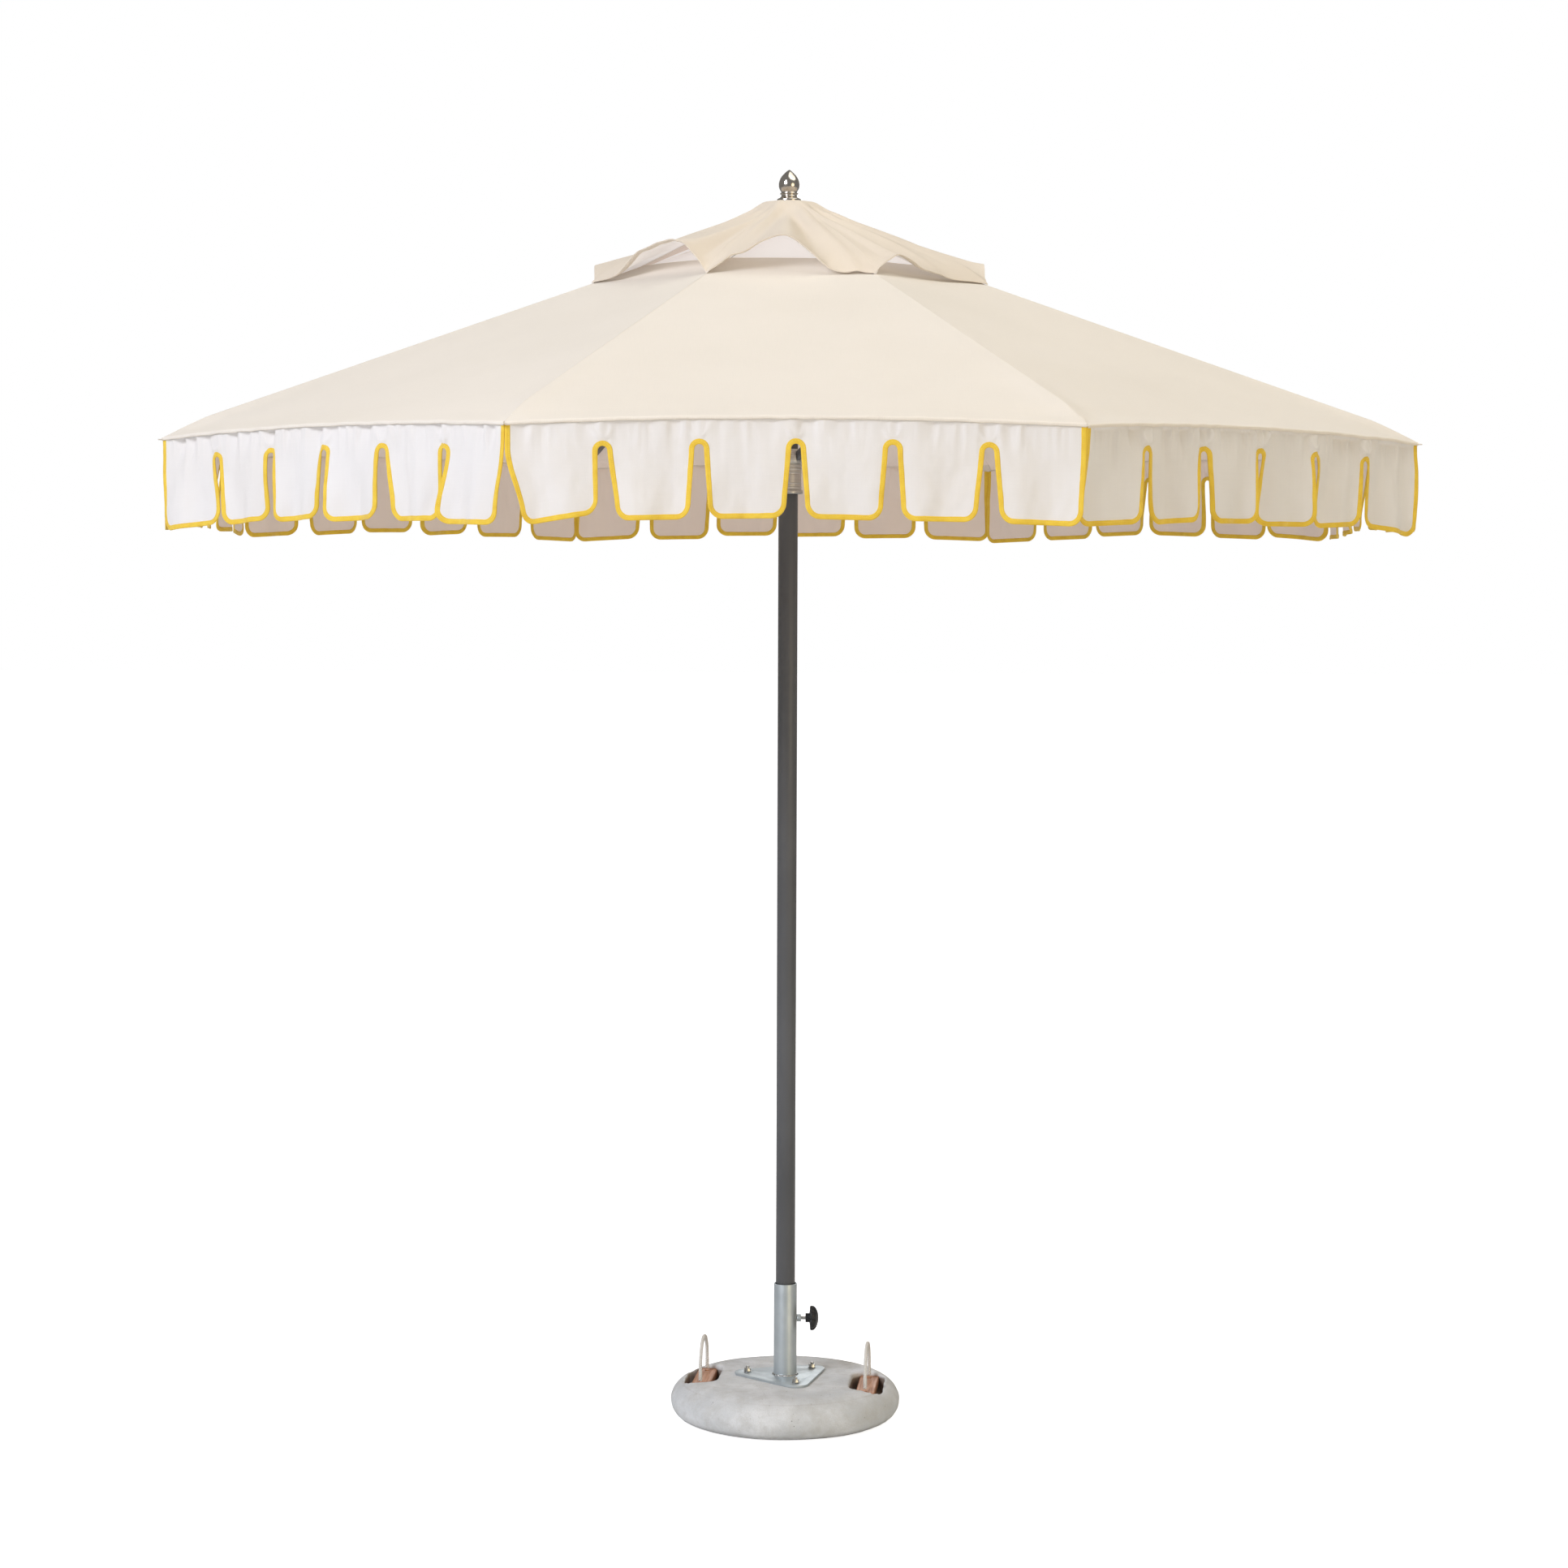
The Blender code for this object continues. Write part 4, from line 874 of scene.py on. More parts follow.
def cap_hem(side):
    """Folded and stitched edge of the vent cap."""
    rings, uvs = [], []
    length, previous = 0.0, None
    widths = (0.0, 2.0, 6.0, 10.5, 13.0)
    for across in closer_at_ends(90):
        across *= 0.997
        points = [cap_point(side, CAP_RADIUS - w * MM, across) for w in widths]
        length += (points[0] - previous).length if previous else 0.0
        previous = points[0]
        inward = (points[-1] - points[0]).normalized()
        along = cap_point(side, CAP_RADIUS, across + 0.002) - points[0]
        up = inward.cross(along).normalized()
        if up.z < 0:
            up = -up
        high = [points[0] - inward * 0.8 * MM] + [p + up * (0.8 * MM) for p in points[1:]]
        low = [p - up * (FABRIC + 0.7 * MM) for p in reversed(points[1:])]
        rings.append(high + low)
        uvs.append([(length, w * MM) for w in widths] + [(length, w * MM) for w in reversed(widths[1:])])
    made = swept(f"vent_hem_{side}", rings, uvs, (MAT["hem"],), 70)
    fold_with_panel(made, side)


def cap_seam(rib):
    steps = spread(60, CAP_PATCH - 4 * MM, CAP_RADIUS + 1 * MM)
    heights = [height * MM for height in (0.64, 1.12, -0.8, -2.08)]
    seam(f"vent_seam_{rib}", rib, cap_point, steps, 5 * MM, CAP_END, lambda radius: heights)


def cap_pocket(rib):
    def width_at(radius):
        run = (radius - POCKET_START) / (CAP_RADIUS - POCKET_START)
        return min(30 * MM * (1 - run) + 7 * MM * run, 0.92 * half_chord(radius))

    steps = spread(40, POCKET_START, CAP_RADIUS - 14 * MM)
    pocket(f"vent_pocket_{rib}", rib, cap_point, steps, width_at, CAP_END, 0.6 * MM, MAT["canopy"])


# ---- Valance ----

FLAPS = 6
DROP = VALANCE_HIGH.z - VALANCE_LOW.z
STRIP_HALF = SIDE_LENGTH / 2 - 1.5 * MM
PITCH = 2 * STRIP_HALF / FLAPS
SLOT_TOP = 45 * MM  # from the strip's top to the round top of a slot
SLOT_ROUND = 9.5 * MM
SLOT_FOOT = 13.5 * MM
FLAP_CORNER = 26 * MM
FLAP_KEYS = ("left", "right", "low_left", "low_right", "swing", "yaw", "curl", "fold")
# In mm: sideways shift of a flap's two lower corners, how far each hangs lower, and the flap's outward
# swing, turn, curl and fold
SEEN_FLAPS = {
    1: [(30, 2, 2, -14, 3, 3, 3, 3), (13, -5, 0, 0, 2, -2, -3, 4), (5, -6, 0, -1, 0, 2, 3, 3),
        (6, -6, 0, 2, 2, -3, 2, -4), (5, -9, 2, 0, 1, 3, -3, 3), (7, -6, 2, 0, 3, -2, 3, -3)],
    2: [(-7, -23, 0, 0, 4, 12, 5, 6), (11, -21, 2, -3, 0, 12, -6, 7), (10, -25, 0, 0, 5, 12, 6, -6),
        (2, -7, 4, 2, -2, 12, -5, 7), (-4, -27, 5, -6, 6, 13, 6, -7), (5, -15, -6, 8, 4, 9, -7, 6)],
    8: [(18, 20, 4, -4, 3, -10, -6, 7), (31, -2, 2, -5, 2, -12, 6, 6), (28, -20, 2, -6, 4, -12, -5, -7),
        (6, 0, 4, -4, 0, -11, 7, 6), (30, -9, 2, -2, 3, -11, -5, 6), (-12, -28, 4, 0, 4, -9, 6, -6)],
}


def flap_shapes(side):
    if side in SEEN_FLAPS:
        numbers = SEEN_FLAPS[side]
    else:
        draw = random.Random(40 + side)
        limits = (7, 7, 5, 5, 6, 9, 6, 6)
        numbers = [[draw.uniform(-limit, limit) for limit in limits] for _ in range(FLAPS)]
    return [dict(zip(FLAP_KEYS, (n * MM for n in flap))) for flap in numbers]


SHAPES = {side: flap_shapes(side) for side in range(1, SIDES + 1)}
GATHER = {1: 0.55, 2: 1.5, 8: 1.1}


def slot_middles():
    return [-STRIP_HALF + PITCH * k for k in range(1, FLAPS)]


def flap_index(along):
    return min(max(int((along + STRIP_HALF) / PITCH), 0), FLAPS - 1)


def flap_middle(index):
    return -STRIP_HALF + PITCH * (index + 0.5)


def valance_point(side, along, down, out=0.0):
    """A point of a strip: along the side, down from its top edge and out from the cloth's middle."""
    index = flap_index(along)
    shape = SHAPES[side][index]
    share = min(max((along - flap_middle(index)) / (PITCH / 2), -1.0), 1.0)
    right = (1 + share) / 2
    loose = ease(down, 0.040, DROP * 0.95)
    seed = side * 11.7
    gather = GATHER.get(side, 1.1)
    started = ease(down, 0.0, 0.008)
    hang = math.exp(-((down / 0.052) ** 2))
    sharp = 0.12 - abs(ripple(along * 27, down * 4, seed))
    sharp -= 0.4 * abs(ripple(along * 55, down * 6, seed + 1))
    held = ease(STRIP_HALF - abs(along), 0.0, 0.035)
    pleats = 16 * MM * gather * hang * started * sharp * held
    folds = 9.0 * MM * gather * ease(down, 0.0, 0.09) * ripple(along * 15, down * 2.4, seed + 3)
    crush = 0.8 * MM * ripple(along * 60, down * 38, seed + 6) * ease(down, 0.0, 0.03)
    pinch = 0.0
    for slot in slot_middles():
        above = SLOT_TOP - down
        if above > 0 and abs(along - slot) < 0.06:
            for lean, strength in ((-0.62, 1.0), (0.05, 0.7), (0.55, 0.9)):
                away = along - slot - lean * max(above, 0.0)
                width = 0.0042 + 0.09 * max(above, 0.0)
                pinch += strength * math.exp(-abs(away / width)) * math.exp(-max(above, 0) / 0.034)
            pinch *= ease(above, 0.004, 0.017)
    pinch *= 6.0 * MM * gather * started
    edge_fold = math.cos(2 * math.pi * (right * 1.4 + index * 0.37 + side * 0.21))
    flap = shape["swing"] + shape["yaw"] * share + shape["curl"] * (share * share - 0.35)
    flap += shape["fold"] * edge_fold
    billow = 3.0 * MM * math.sin(math.pi * min(down / DROP, 1.0)) * math.sin(along * 9 + side)
    deep = 2.5 * MM * loose * ripple(along * 30 + down * 9, down * 14, seed + 8)
    normal = out + pleats + folds + crush + pinch + loose * flap + billow + deep
    shift = loose * (shape["left"] * (1 - right) + shape["right"] * right)
    lower = loose * (shape["low_left"] * (1 - right) + shape["low_right"] * right)
    across = max(-1.0, min(1.0, 2 * along / SIDE_LENGTH))
    top = RIM_HEIGHT - 3.0 * MM + rim_lift(across)
    local = (SIDE_DISTANCE - 0.6 * MM + normal, along + shift, top - down - lower)
    return turned_to(side_azimuth(side), local)


def flap_sides(index, inset):
    """Where a flap starts and ends along the strip, beside slots of that half width."""
    left = -STRIP_HALF + PITCH * index
    return left + (inset if index else 0), left + PITCH - (inset if index < FLAPS - 1 else 0)


def flap_bottom(index, along):
    """Length of a flap at a place along the strip, with round lower corners."""
    left, right = flap_sides(index, SLOT_FOOT)
    inset = min(along - left, right - along)
    if inset >= FLAP_CORNER:
        return DROP
    inset = max(inset, 0.0)
    return DROP - FLAP_CORNER + math.sqrt(max(0.0, FLAP_CORNER**2 - (FLAP_CORNER - inset) ** 2))


def slot_half(down):
    """Half the width of a slot at that depth."""
    share = (down - SLOT_TOP - SLOT_ROUND) / (DROP - SLOT_TOP - SLOT_ROUND)
    return SLOT_ROUND + (SLOT_FOOT - SLOT_ROUND) * min(max(share, 0.0), 1.0)


def flap_columns(index):
    """Places along a flap's foot, closer together in its round corners."""
    left, right = flap_sides(index, SLOT_FOOT)
    turn = [FLAP_CORNER * (1 - math.cos(math.pi / 2 * t)) for t in spread(9)]
    flat = spread(33, left + FLAP_CORNER, right - FLAP_CORNER)
    return [left + t for t in turn[:-1]] + flat + [right - t for t in reversed(turn[:-1])]


TOP_ROWS = 22
FLAP_ROWS = 26


def strip_columns():
    """Columns of (along, down) points, from the strip's left end to its right end."""
    columns = []
    for index in range(FLAPS):
        places = flap_columns(index)
        for foot in places:
            share = (foot - places[0]) / (places[-1] - places[0])
            bottom = flap_bottom(index, foot)
            neck = SLOT_TOP + SLOT_ROUND
            column = []
            for down in spread(TOP_ROWS, 0.0, neck) + spread(FLAP_ROWS, neck, bottom)[1:]:
                left, right = flap_sides(index, slot_half(down))
                column.append((left + (right - left) * share, down))
            columns.append((index, column))
        if index < FLAPS - 1:
            slot = -STRIP_HALF + PITCH * (index + 1)
            for t in spread(11, -1, 1)[1:-1]:
                offset = SLOT_ROUND * math.sin(t * math.pi / 2)
                top = SLOT_TOP + SLOT_ROUND - math.sqrt(SLOT_ROUND**2 - offset**2)
                columns.append((None, [(slot + offset, down) for down in spread(TOP_ROWS, 0.0, top)]))
    return columns


def strip_outline(columns):
    """The cut edge of a strip as (along, down) points, from its top left corner round to the right one."""
    outline = []
    first = columns[0][1]
    outline += first[:-1]
    for position, (index, column) in enumerate(columns):
        before = columns[position - 1][0] if position else None
        after = columns[position + 1][0] if position < len(columns) - 1 else None
        if index is None:
            outline.append(column[-1])
            continue
        if position and before is None:
            outline += column[TOP_ROWS - 1:-1]
        outline.append(column[-1])
        if position < len(columns) - 1 and after is None:
            outline += list(reversed(column[TOP_ROWS - 1:-1]))
    outline += list(reversed(columns[-1][1][:-1]))
    return outline


def valance_mesh(side, columns):
    shape = bmesh.new()
    layer = shape.loops.layers.uv.new("UVMap")
    made_columns = [[shape.verts.new(valance_point(side, *p)) for p in column] for _, column in columns]
    for (_, flat_a), (_, flat_b), a, b in zip(columns, columns[1:], made_columns, made_columns[1:]):
        for i in range(min(len(a), len(b)) - 1):
            add_face(shape, layer, (a[i], a[i + 1], b[i + 1], b[i]),
                     (flat_a[i], flat_a[i + 1], flat_b[i + 1], flat_b[i]))
    return mesh_of(f"valance_cloth_{side}", shape, (MAT["valance"], MAT["underside_shade_and_glow"]))


def valance_cloth(side, columns):
    made = thickened(f"valance_cloth_{side}", valance_mesh(side, columns), FABRIC, 0)
    finish_soft(made, f"valance_{side}")
    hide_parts(f"valance_{side}")


def even_spacing(points, gap):
    """The same line with its points about that far apart."""
    line = [Vector(points[0])]
    for a, b in zip(points, points[1:]):
        a, b = Vector(a), Vector(b)
        parts = max(1, round((b - a).length / gap))
        line += [a.lerp(b, i / parts) for i in range(1, parts + 1)]
    return line


def binding(side, outline):
    """Tape folded over the cut edge and stitched through."""
    line = even_spacing(outline, 4 * MM)
    rings, uvs = [], []
    length = 0.0
    section = [(-1.2, 0.0), (-0.7, 1.1), (1.0, 1.5), (4.2, 1.35), (7.4, 1.45), (8.6, 0.9), (8.6, -0.9),
               (7.4, -1.45), (4.2, -1.35), (1.0, -1.5), (-0.7, -1.1)]
    for i, point in enumerate(line):
        before, after = line[max(i - 1, 0)], line[min(i + 1, len(line) - 1)]
        length += (point - line[i - 1]).length if i else 0.0
        travel = (after - before).normalized()
        inward = Vector((travel.y, -travel.x))
        wobble = 1 + 0.06 * ripple(length * 45, side * 2.3)
        ring, ring_uv = [], []
        for inset, rise in section:
            spot = point + inward * (inset * MM * wobble)
            spot.x = min(max(spot.x, -STRIP_HALF - 2 * MM), STRIP_HALF + 2 * MM)
            ring.append(valance_edge_point(side, point, spot, rise * MM))
            ring_uv.append((length, (inset + 1.2) * MM))
        rings.append(ring)
        uvs.append(ring_uv)
    made = swept(f"valance_binding_{side}", rings, uvs, (MAT["binding"],), 75)
    finish_soft(made, f"valance_{side}")


def valance_edge_point(side, edge, spot, rise):
    """A point beside the cut edge. Outside the cloth it goes on straight, on the edge's own flap."""
    along, down = spot.x, spot.y
    middle = flap_middle(flap_index(edge.x))
    reach = PITCH / 2 - 0.01 * MM
    held = min(max(along, middle - reach), middle + reach)
    point = valance_point(side, held, max(down, 0.0), rise)
    extra = turned_to(side_azimuth(side), (0, along - held, -min(down, 0.0)))
    return point + extra


def valances():
    columns = strip_columns()
    outline = strip_outline(columns)
    for side in range(1, SIDES + 1):
        valance_cloth(side, columns)
        binding(side, outline)


# ---- Turned and moulded pieces ----


SMALLEST_RADIUS = 0.02 * MM


def revolve(name, profile, material, degrees, steps=96):
    """Turns (radius, height) points about the row's Z axis. The profile runs up its outer side."""
    rows, uvs = [], []
    for radius, height in profile:
        rows.append([on_ring(max(radius, SMALLEST_RADIUS), turn, height) for turn in turns(steps)])
        uvs.append([(i / steps, height) for i in range(steps)])
    return swept(name, rows, uvs, (material,), degrees)


def curve_through(points, density=8):
    """Catmull-Rom curve through the points."""
    ends = [points[0]] + list(points) + [points[-1]]
    line = []
    for p0, p1, p2, p3 in zip(ends, ends[1:], ends[2:], ends[3:]):
        for k in range(density):
            t = k / density
            line.append(tuple(
                0.5 * (2 * b + (c - a) * t + (2 * a - 5 * b + 4 * c - d) * t**2
                       + (3 * b - a - 3 * c + d) * t**3)
                for a, b, c, d in zip(p0, p1, p2, p3)
            ))
    return line + [points[-1]]


def finial():
    """Polished acorn on a ringed neck and a collar. Outline in mm: radius, and depth below the point."""
    outline = [(25.6, 70.0), (26.3, 69.2), (26.4, 64.8), (25.4, 62.4), (21.5, 60.0), (18.2, 57.6),
               (17.0, 55.2), (17.5, 53.2), (19.4, 52.0), (19.4, 50.2), (17.5, 48.9), (17.7, 46.8),
               (19.6, 43.5), (21.7, 39.0), (22.5, 34.5), (22.3, 29.0), (20.6, 22.0), (16.8, 14.8),
               (11.0, 8.2), (5.4, 3.2), (1.6, 0.6), (0.0, 0.0)]
    bottom = CAP_TOP + 0.7 * MM
    profile = [(r * MM, max(bottom, FINIAL_HIGH.z - depth * MM)) for r, depth in curve_through(outline)]
    made = revolve("finial_acorn", [(0.0, bottom - 0.01 * MM)] + profile, MAT["nickel"], degrees=50)
    settle(made, "pole", "finial")


def runner_bands():
    """Machined bands, a plain label band and a ring on the runner's sleeve."""
    base, inner = RUNNER_LOW.z, 26.8 * MM
    outline = [(30.6, 0.0), (31.4, 1.0), (31.6, 4.0), (31.4, 7.0), (30.6, 8.4), (28.6, 9.2), (28.4, 12),
               (29.4, 12.6), (29.4, 15.0), (28.3, 15.6), (28.3, 21.5), (28.9, 22.0), (28.9, 23.4),
               (28.1, 24.0), (28.1, 44.0), (28.9, 44.6), (28.9, 46.0), (28.3, 46.6), (28.3, 52.0),
               (29.4, 52.6), (29.4, 55.0), (28.4, 55.6), (28.4, 58.5), (30.2, 59.4), (30.2, 62.5),
               (29.0, 63.4)]
    profile = [(inner, base)] + [(r * MM, base + z * MM) for r, z in outline] + [(inner, base + 63.4 * MM)]
    made = revolve("runner_bands", profile, MAT["brushed"], degrees=25)
    round_edges(made, 0.25 * MM)
    settle(made, "runner")


LOBES = 7
LOBE_DEPTH = 0.115


def clamp_knob():
    """Moulded star knob whose lobes and dished face are one smooth shape."""
    start, end = KNOB_LOW.x, KNOB_HIGH.x
    length = end - start
    centre = (KNOB_LOW + KNOB_HIGH) / 2
    hub, tip = 10.0 * MM, (KNOB_HIGH.z - KNOB_LOW.z) / 2 - 0.4 * MM
    axis = 0.1 * MM
    outline = [(axis, 0.0), (0.9 * hub, 0.0), (hub, 0.02), (hub, 0.26), (1.1 * hub, 0.30)]
    outline += [(share * tip, t) for share, t in (
        (0.6, 0.325), (0.9, 0.35), (0.985, 0.40), (1, 0.48), (0.99, 0.57), (0.93, 0.68), (0.79, 0.80),
        (0.58, 0.90), (0.35, 0.965), (0.15, 0.995))]
    outline.append((axis, 1.0))
    rings, uvs = [], []
    steps = 126
    for radius, t in curve_through(outline, 5):
        ring = []
        share = ease(radius, 0.5 * tip, 0.95 * tip)
        for turn in turns(steps):
            lobe = 1 - share * LOBE_DEPTH * (1 - abs(math.cos(LOBES / 2 * turn)) ** 0.7)
            spot = on_ring(max(radius, 0.05 * MM) * lobe, turn)
            ring.append(Vector((start + t * length, centre.y + spot.x, centre.z + spot.y)))
        rings.append(ring)
        uvs.append([(i / steps, t) for i in range(steps)])
    made = swept("clamp_knob_grip", rings, uvs, (MAT["plastic"],), 40)
    settle(made, "clamp_knob", "clamp_knob")


# ---- Base ----


SEAT_RADIUS = 0.125  # the socket's plate stands on a flat part of the top


def concrete_body():
    """Cast disc with softened edges and a slightly uneven surface."""
    made = add_object("concrete_disc", NODES["concrete_base"].data.copy())
    remesh = made.modifiers.new("even_faces", "REMESH")
    remesh.mode = "VOXEL"
    remesh.voxel_size = 3.6 * MM
    soften = made.modifiers.new("worn_edges", "SMOOTH")
    soften.factor = 0.5
    soften.iterations = 4
    apply_modifiers(made)
    mesh = made.data
    surface = [(vertex.co.copy(), vertex.normal.copy()) for vertex in mesh.vertices]
    for vertex, (place, normal) in zip(mesh.vertices, surface):
        keep = ease(place.z, 0.0, 4 * MM)
        swell = 0.9 * MM * ripple(place.x * 9, place.y * 9, place.z * 9)
        grit = 0.35 * MM * ripple(place.x * 60, place.y * 60, place.z * 60)
        flat_seat = 1 - ease(BASE_HIGH.z - place.z, 0.0, 3 * MM) if place.xy.length < SEAT_RADIUS else 0.0
        vertex.co = place + normal * ((swell + grit) * keep * (1 - flat_seat))
    mesh.materials.clear()
    mesh.materials.append(MAT["concrete"])
    smooth(mesh, 60)
    settle(made, "base", "concrete_base")


ROPE_RADIUS = 4.0 * MM
ROPE_LAY = 15 * MM  # length of one turn of its strands
STRAND_CENTRE = 2.3 * MM
STRAND_RADIUS = 1.9 * MM


def rope_loop(number):
    """Three-strand rope through the slat: up one leg, over and down the other."""
    low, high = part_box(f"handle_rope_{number}")
    slat_low, slat_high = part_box(f"handle_slat_{number}")
    middle = (slat_low + slat_high) / 2
    middle.z = 0
    flat = Vector((high.x - low.x - 2 * ROPE_RADIUS, high.y - low.y - 2 * ROPE_RADIUS, 0))
    direction = HANDLE_LINE.normalized()
    reach = flat.length / 2
    top = high.z - ROPE_RADIUS
    bottom = low.z + ROPE_RADIUS * 0.5
    spring = top - reach * 0.98
    line = [middle - direction * reach + upwards(z) for z in spread(24, bottom, spring)]
    for t in spread(60)[1:-1]:
        turn = math.pi * (1 - t)
        height = spring + (top - spring) * math.sin(turn)
        line.append(middle + direction * (reach * math.cos(turn)) + upwards(height))
    line += [middle + direction * reach + upwards(z) for z in spread(24, spring, bottom)]
    side = Vector((direction.y, -direction.x, 0))
    strands = []
    for strand in range(3):
        points, length = [], 0.0
        for i, place in enumerate(line):
            length += (place - line[i - 1]).length if i else 0.0
            forward = (line[min(i + 1, len(line) - 1)] - line[max(i - 1, 0)]).normalized()
            other = forward.cross(side).normalized()
            turn = 2 * math.pi * (length / ROPE_LAY + strand / 3)
            points.append(place + (side * math.cos(turn) + other * math.sin(turn)) * STRAND_CENTRE)
        strands.append(points)
    curve = bpy.data.curves.new(f"rope_{number}", "CURVE")
    curve.dimensions = "3D"
    curve.bevel_depth = STRAND_RADIUS
    curve.bevel_resolution = 3
    curve.use_fill_caps = True
    for points in strands:
        fine = curve_through([tuple(p) for p in points], 2)
        spline = curve.splines.new("POLY")
        spline.points.add(len(fine) - 1)
        for target, point in zip(spline.points, fine):
            target.co = (*point, 1)
    made = add_object(f"rope_loop_{number}", curve)
    graph = bpy.context.evaluated_depsgraph_get()
    mesh = bpy.data.meshes.new_from_object(made.evaluated_get(graph))
    bpy.data.objects.remove(made)
    made = add_object(f"rope_loop_{number}", mesh)
    mesh.materials.clear()
    mesh.materials.append(MAT["rope"])
    smooth(mesh, 60)
    settle(made, f"handle_rope_{number}", f"handle_rope_{number}")


def weld_bead():
    """Rippled weld between the socket's tube and its plate."""
    rings, uvs = [], []
    count, inset = 240, 0.9 * MM
    for i in range(count + 1):
        turn = 2 * math.pi * i / count
        size = (2.3 + 0.25 * math.sin(turn * 58) + 0.3 * ripple(math.cos(turn) * 4, math.sin(turn) * 4)) * MM
        ring = []
        for lean in turns(8):
            reach = TUBE_RADIUS + inset + size * math.cos(lean)
            ring.append(on_ring(reach, turn, PLATE_TOP + inset + size * math.sin(lean)))
        rings.append(ring)
        uvs.append([(i / count, k / 8) for k in range(8)])
    rings[-1] = [point.copy() for point in rings[0]]
    made = swept("socket_weld", rings, uvs, (MAT["steel"],), 80)
    settle(made, "base")


# ---- CAD nodes that stay ----


# Node, how many there are if they are numbered, material and width of the rounded edges in mm
DRESSED = (("pole", 0, "charcoal", 0.4), ("pole_foot", 0, "plastic", 0.4),
           ("crown_hub", 0, "brushed", 0.4), ("runner", 0, "brushed", 0.3),
           ("release_button", 0, "steel", 0.4), ("pole_socket", 0, "zinc", 0.5),
           ("clamp_nut", 0, "zinc", 0.4), ("clamp_screw", 0, "steel", 0.3), ("rib", SIDES, "charcoal", 0.6),
           ("rib_bracket", SIDES, "charcoal", 0.4), ("strut", SIDES, "charcoal", 0.6),
           ("base_bolt", 3, "steel", 0.3), ("handle_slat", 2, "wood", 1.6))


def dress(node, material, width):
    """Gives a CAD node its material, joined faces, a rounded edge and smooth shading."""
    made = NODES[node]
    made.data.materials.clear()
    made.data.materials.append(MAT[material])
    weld = made.modifiers.new("join", "WELD")
    weld.merge_threshold = 0.01 * MM
    round_edges(made, width * MM)
    shade = made.modifiers.new("shade", "EDGE_SPLIT")
    shade.split_angle = math.radians(35)
    for polygon in made.data.polygons:
        polygon.use_smooth = True


def dress_frame():
    for name, count, material, width in DRESSED:
        for node in [f"{name}_{k + 1}" for k in range(count)] or [name]:
            dress(node, material, width)


# ---- Studio ----

PHOTO_DISTANCE = 7.28
CAMERA_HEIGHT = 1.825
CAMERA_PITCH = math.radians(-3.444)
CAMERA_YAW = math.radians(-0.566)
CAMERA_SIDE = -0.0788
CAMERA_ROLL = math.radians(0.2)
LENS = 77.2

WORLD_STRENGTH = 0.25
WORLD_TINT = (1.0, 0.985, 0.96, 1)
FLOOR_GLOW = 0.85
# Name, place, target, size, power and colour
LIGHTS = (("key", (-4.5, -5.0, 5.2), (0, 0, 1.6), 3.5, 350, (0.96, 0.99, 1.08)),
          ("fill", (4.5, -5.5, 2.5), (0, 0, 1.2), 4.0, 85, (1.2, 1.0, 0.64)),
          ("top", (1.8, -0.8, 6.5), (0, 0, 2), 5.0, 138, (1.0, 0.98, 0.90)),
          ("back", (1.0, 6.0, 3.4), (0, 0, 1.4), 4.0, 80, (1, 1, 1)))


def camera():
    data = bpy.data.cameras.new("camera")
    data.lens = LENS
    data.sensor_width = 36
    data.clip_end = 100
    made = add_object("camera", data)
    turn = Matrix.Rotation(CAMERA_YAW, 4, "Z") @ Matrix.Rotation(math.pi / 2 + CAMERA_PITCH, 4, "X")
    turn = turn @ Matrix.Rotation(CAMERA_ROLL, 4, "Z")
    made.matrix_world = Matrix.Translation((CAMERA_SIDE, -PHOTO_DISTANCE, CAMERA_HEIGHT)) @ turn
    bpy.context.scene.camera = made


def area_light(name, place, target, size, power, colour):
    data = bpy.data.lights.new(name, "AREA")
    data.shape = "DISK"
    data.size = size
    data.energy = power
    data.color = colour
    made = add_object(name, data)
    made.location = place
    made.rotation_euler = (Vector(target) - Vector(place)).to_track_quat("-Z", "Y").to_euler()


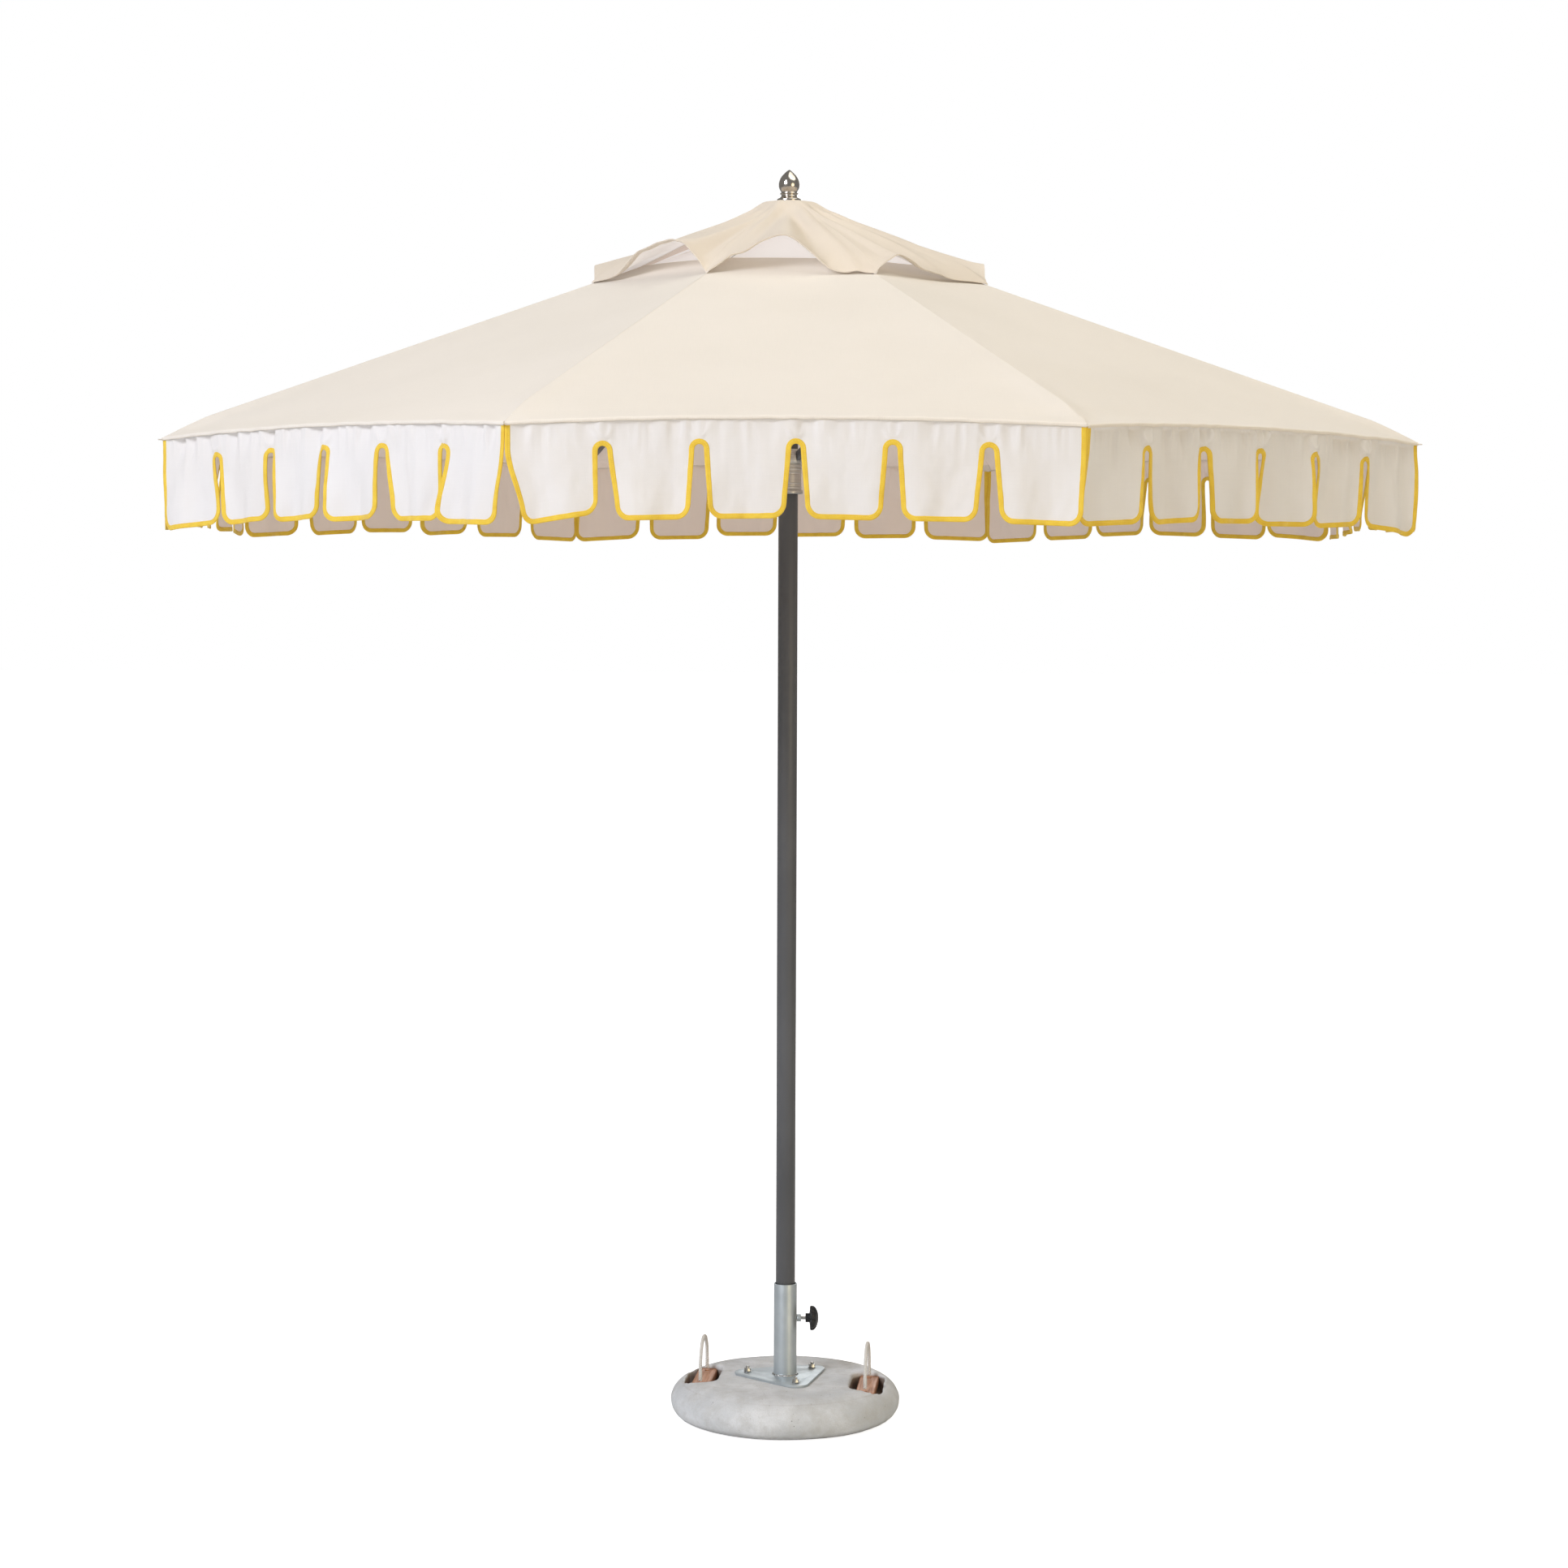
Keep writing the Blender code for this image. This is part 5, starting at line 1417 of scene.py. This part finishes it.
def only_for_camera(tree, strength_seen, strength_lit):
    """A strength that the camera sees, and another one that lights the scene."""
    path = tree.nodes.new("ShaderNodeLightPath")
    share = tree.nodes.new("ShaderNodeMapRange")
    tree.links.new(path.outputs["Is Camera Ray"], share.inputs["Value"])
    share.inputs["To Min"].default_value = strength_lit
    share.inputs["To Max"].default_value = strength_seen
    return share.outputs["Result"]


def studio():
    shader = Shader("studio_floor", roughness=0.95)
    greys = ((level, level, level, 1) for level in (0.86, 0.88))
    shader.set("Base Color", shader.mix(shader.noise(2.0, 2.0), *greys))
    shader.set("Emission Color", (1, 1, 1, 1))
    shader.set("Emission Strength", only_for_camera(shader.tree, FLOOR_GLOW, 0.0))
    rows = [[(x, y, -0.4 * MM) for x in spread(2, -60, 60)] for y in spread(2, -60, 60)]
    floor = add_object("studio_floor", grid_mesh("studio_floor", rows, rows_uv(rows), (shader.material,)))
    world = bpy.data.worlds.new("studio")
    world.use_nodes = True
    tree = world.node_tree
    background = tree.nodes["Background"]
    tint = tree.nodes.new("ShaderNodeMix")
    tint.data_type = "RGBA"
    tree.links.new(only_for_camera(tree, 1.0, 0.0), tint.inputs[0])
    tint.inputs[6].default_value = WORLD_TINT
    tint.inputs[7].default_value = (1, 1, 1, 1)
    tree.links.new(tint.outputs[2], background.inputs["Color"])
    tree.links.new(only_for_camera(tree, 1.0, WORLD_STRENGTH), background.inputs["Strength"])
    bpy.context.scene.world = world
    for light in LIGHTS:
        area_light(*light)
    bpy.context.scene.view_settings.view_transform = "Standard"


def rows_uv(rows):
    return [[(p[0], p[1]) for p in row] for row in rows]


# ---- Build ----

for side in range(1, SIDES + 1):
    canopy_gore(side)
    rim_hem(side)
    cap_gore(side)
    cap_hem(side)
    vent_liner(side)
    vent_collar(side)
for rib in range(1, SIDES + 1):
    seam_cover(rib)
    seam_pocket(rib)
    tip_pocket(rib)
    cap_seam(rib)
    cap_pocket(rib)
cap_crown()
valances()
finial()
runner_bands()
clamp_knob()
concrete_body()
for number in (1, 2):
    rope_loop(number)
weld_bead()
dress_frame()
camera()
studio()
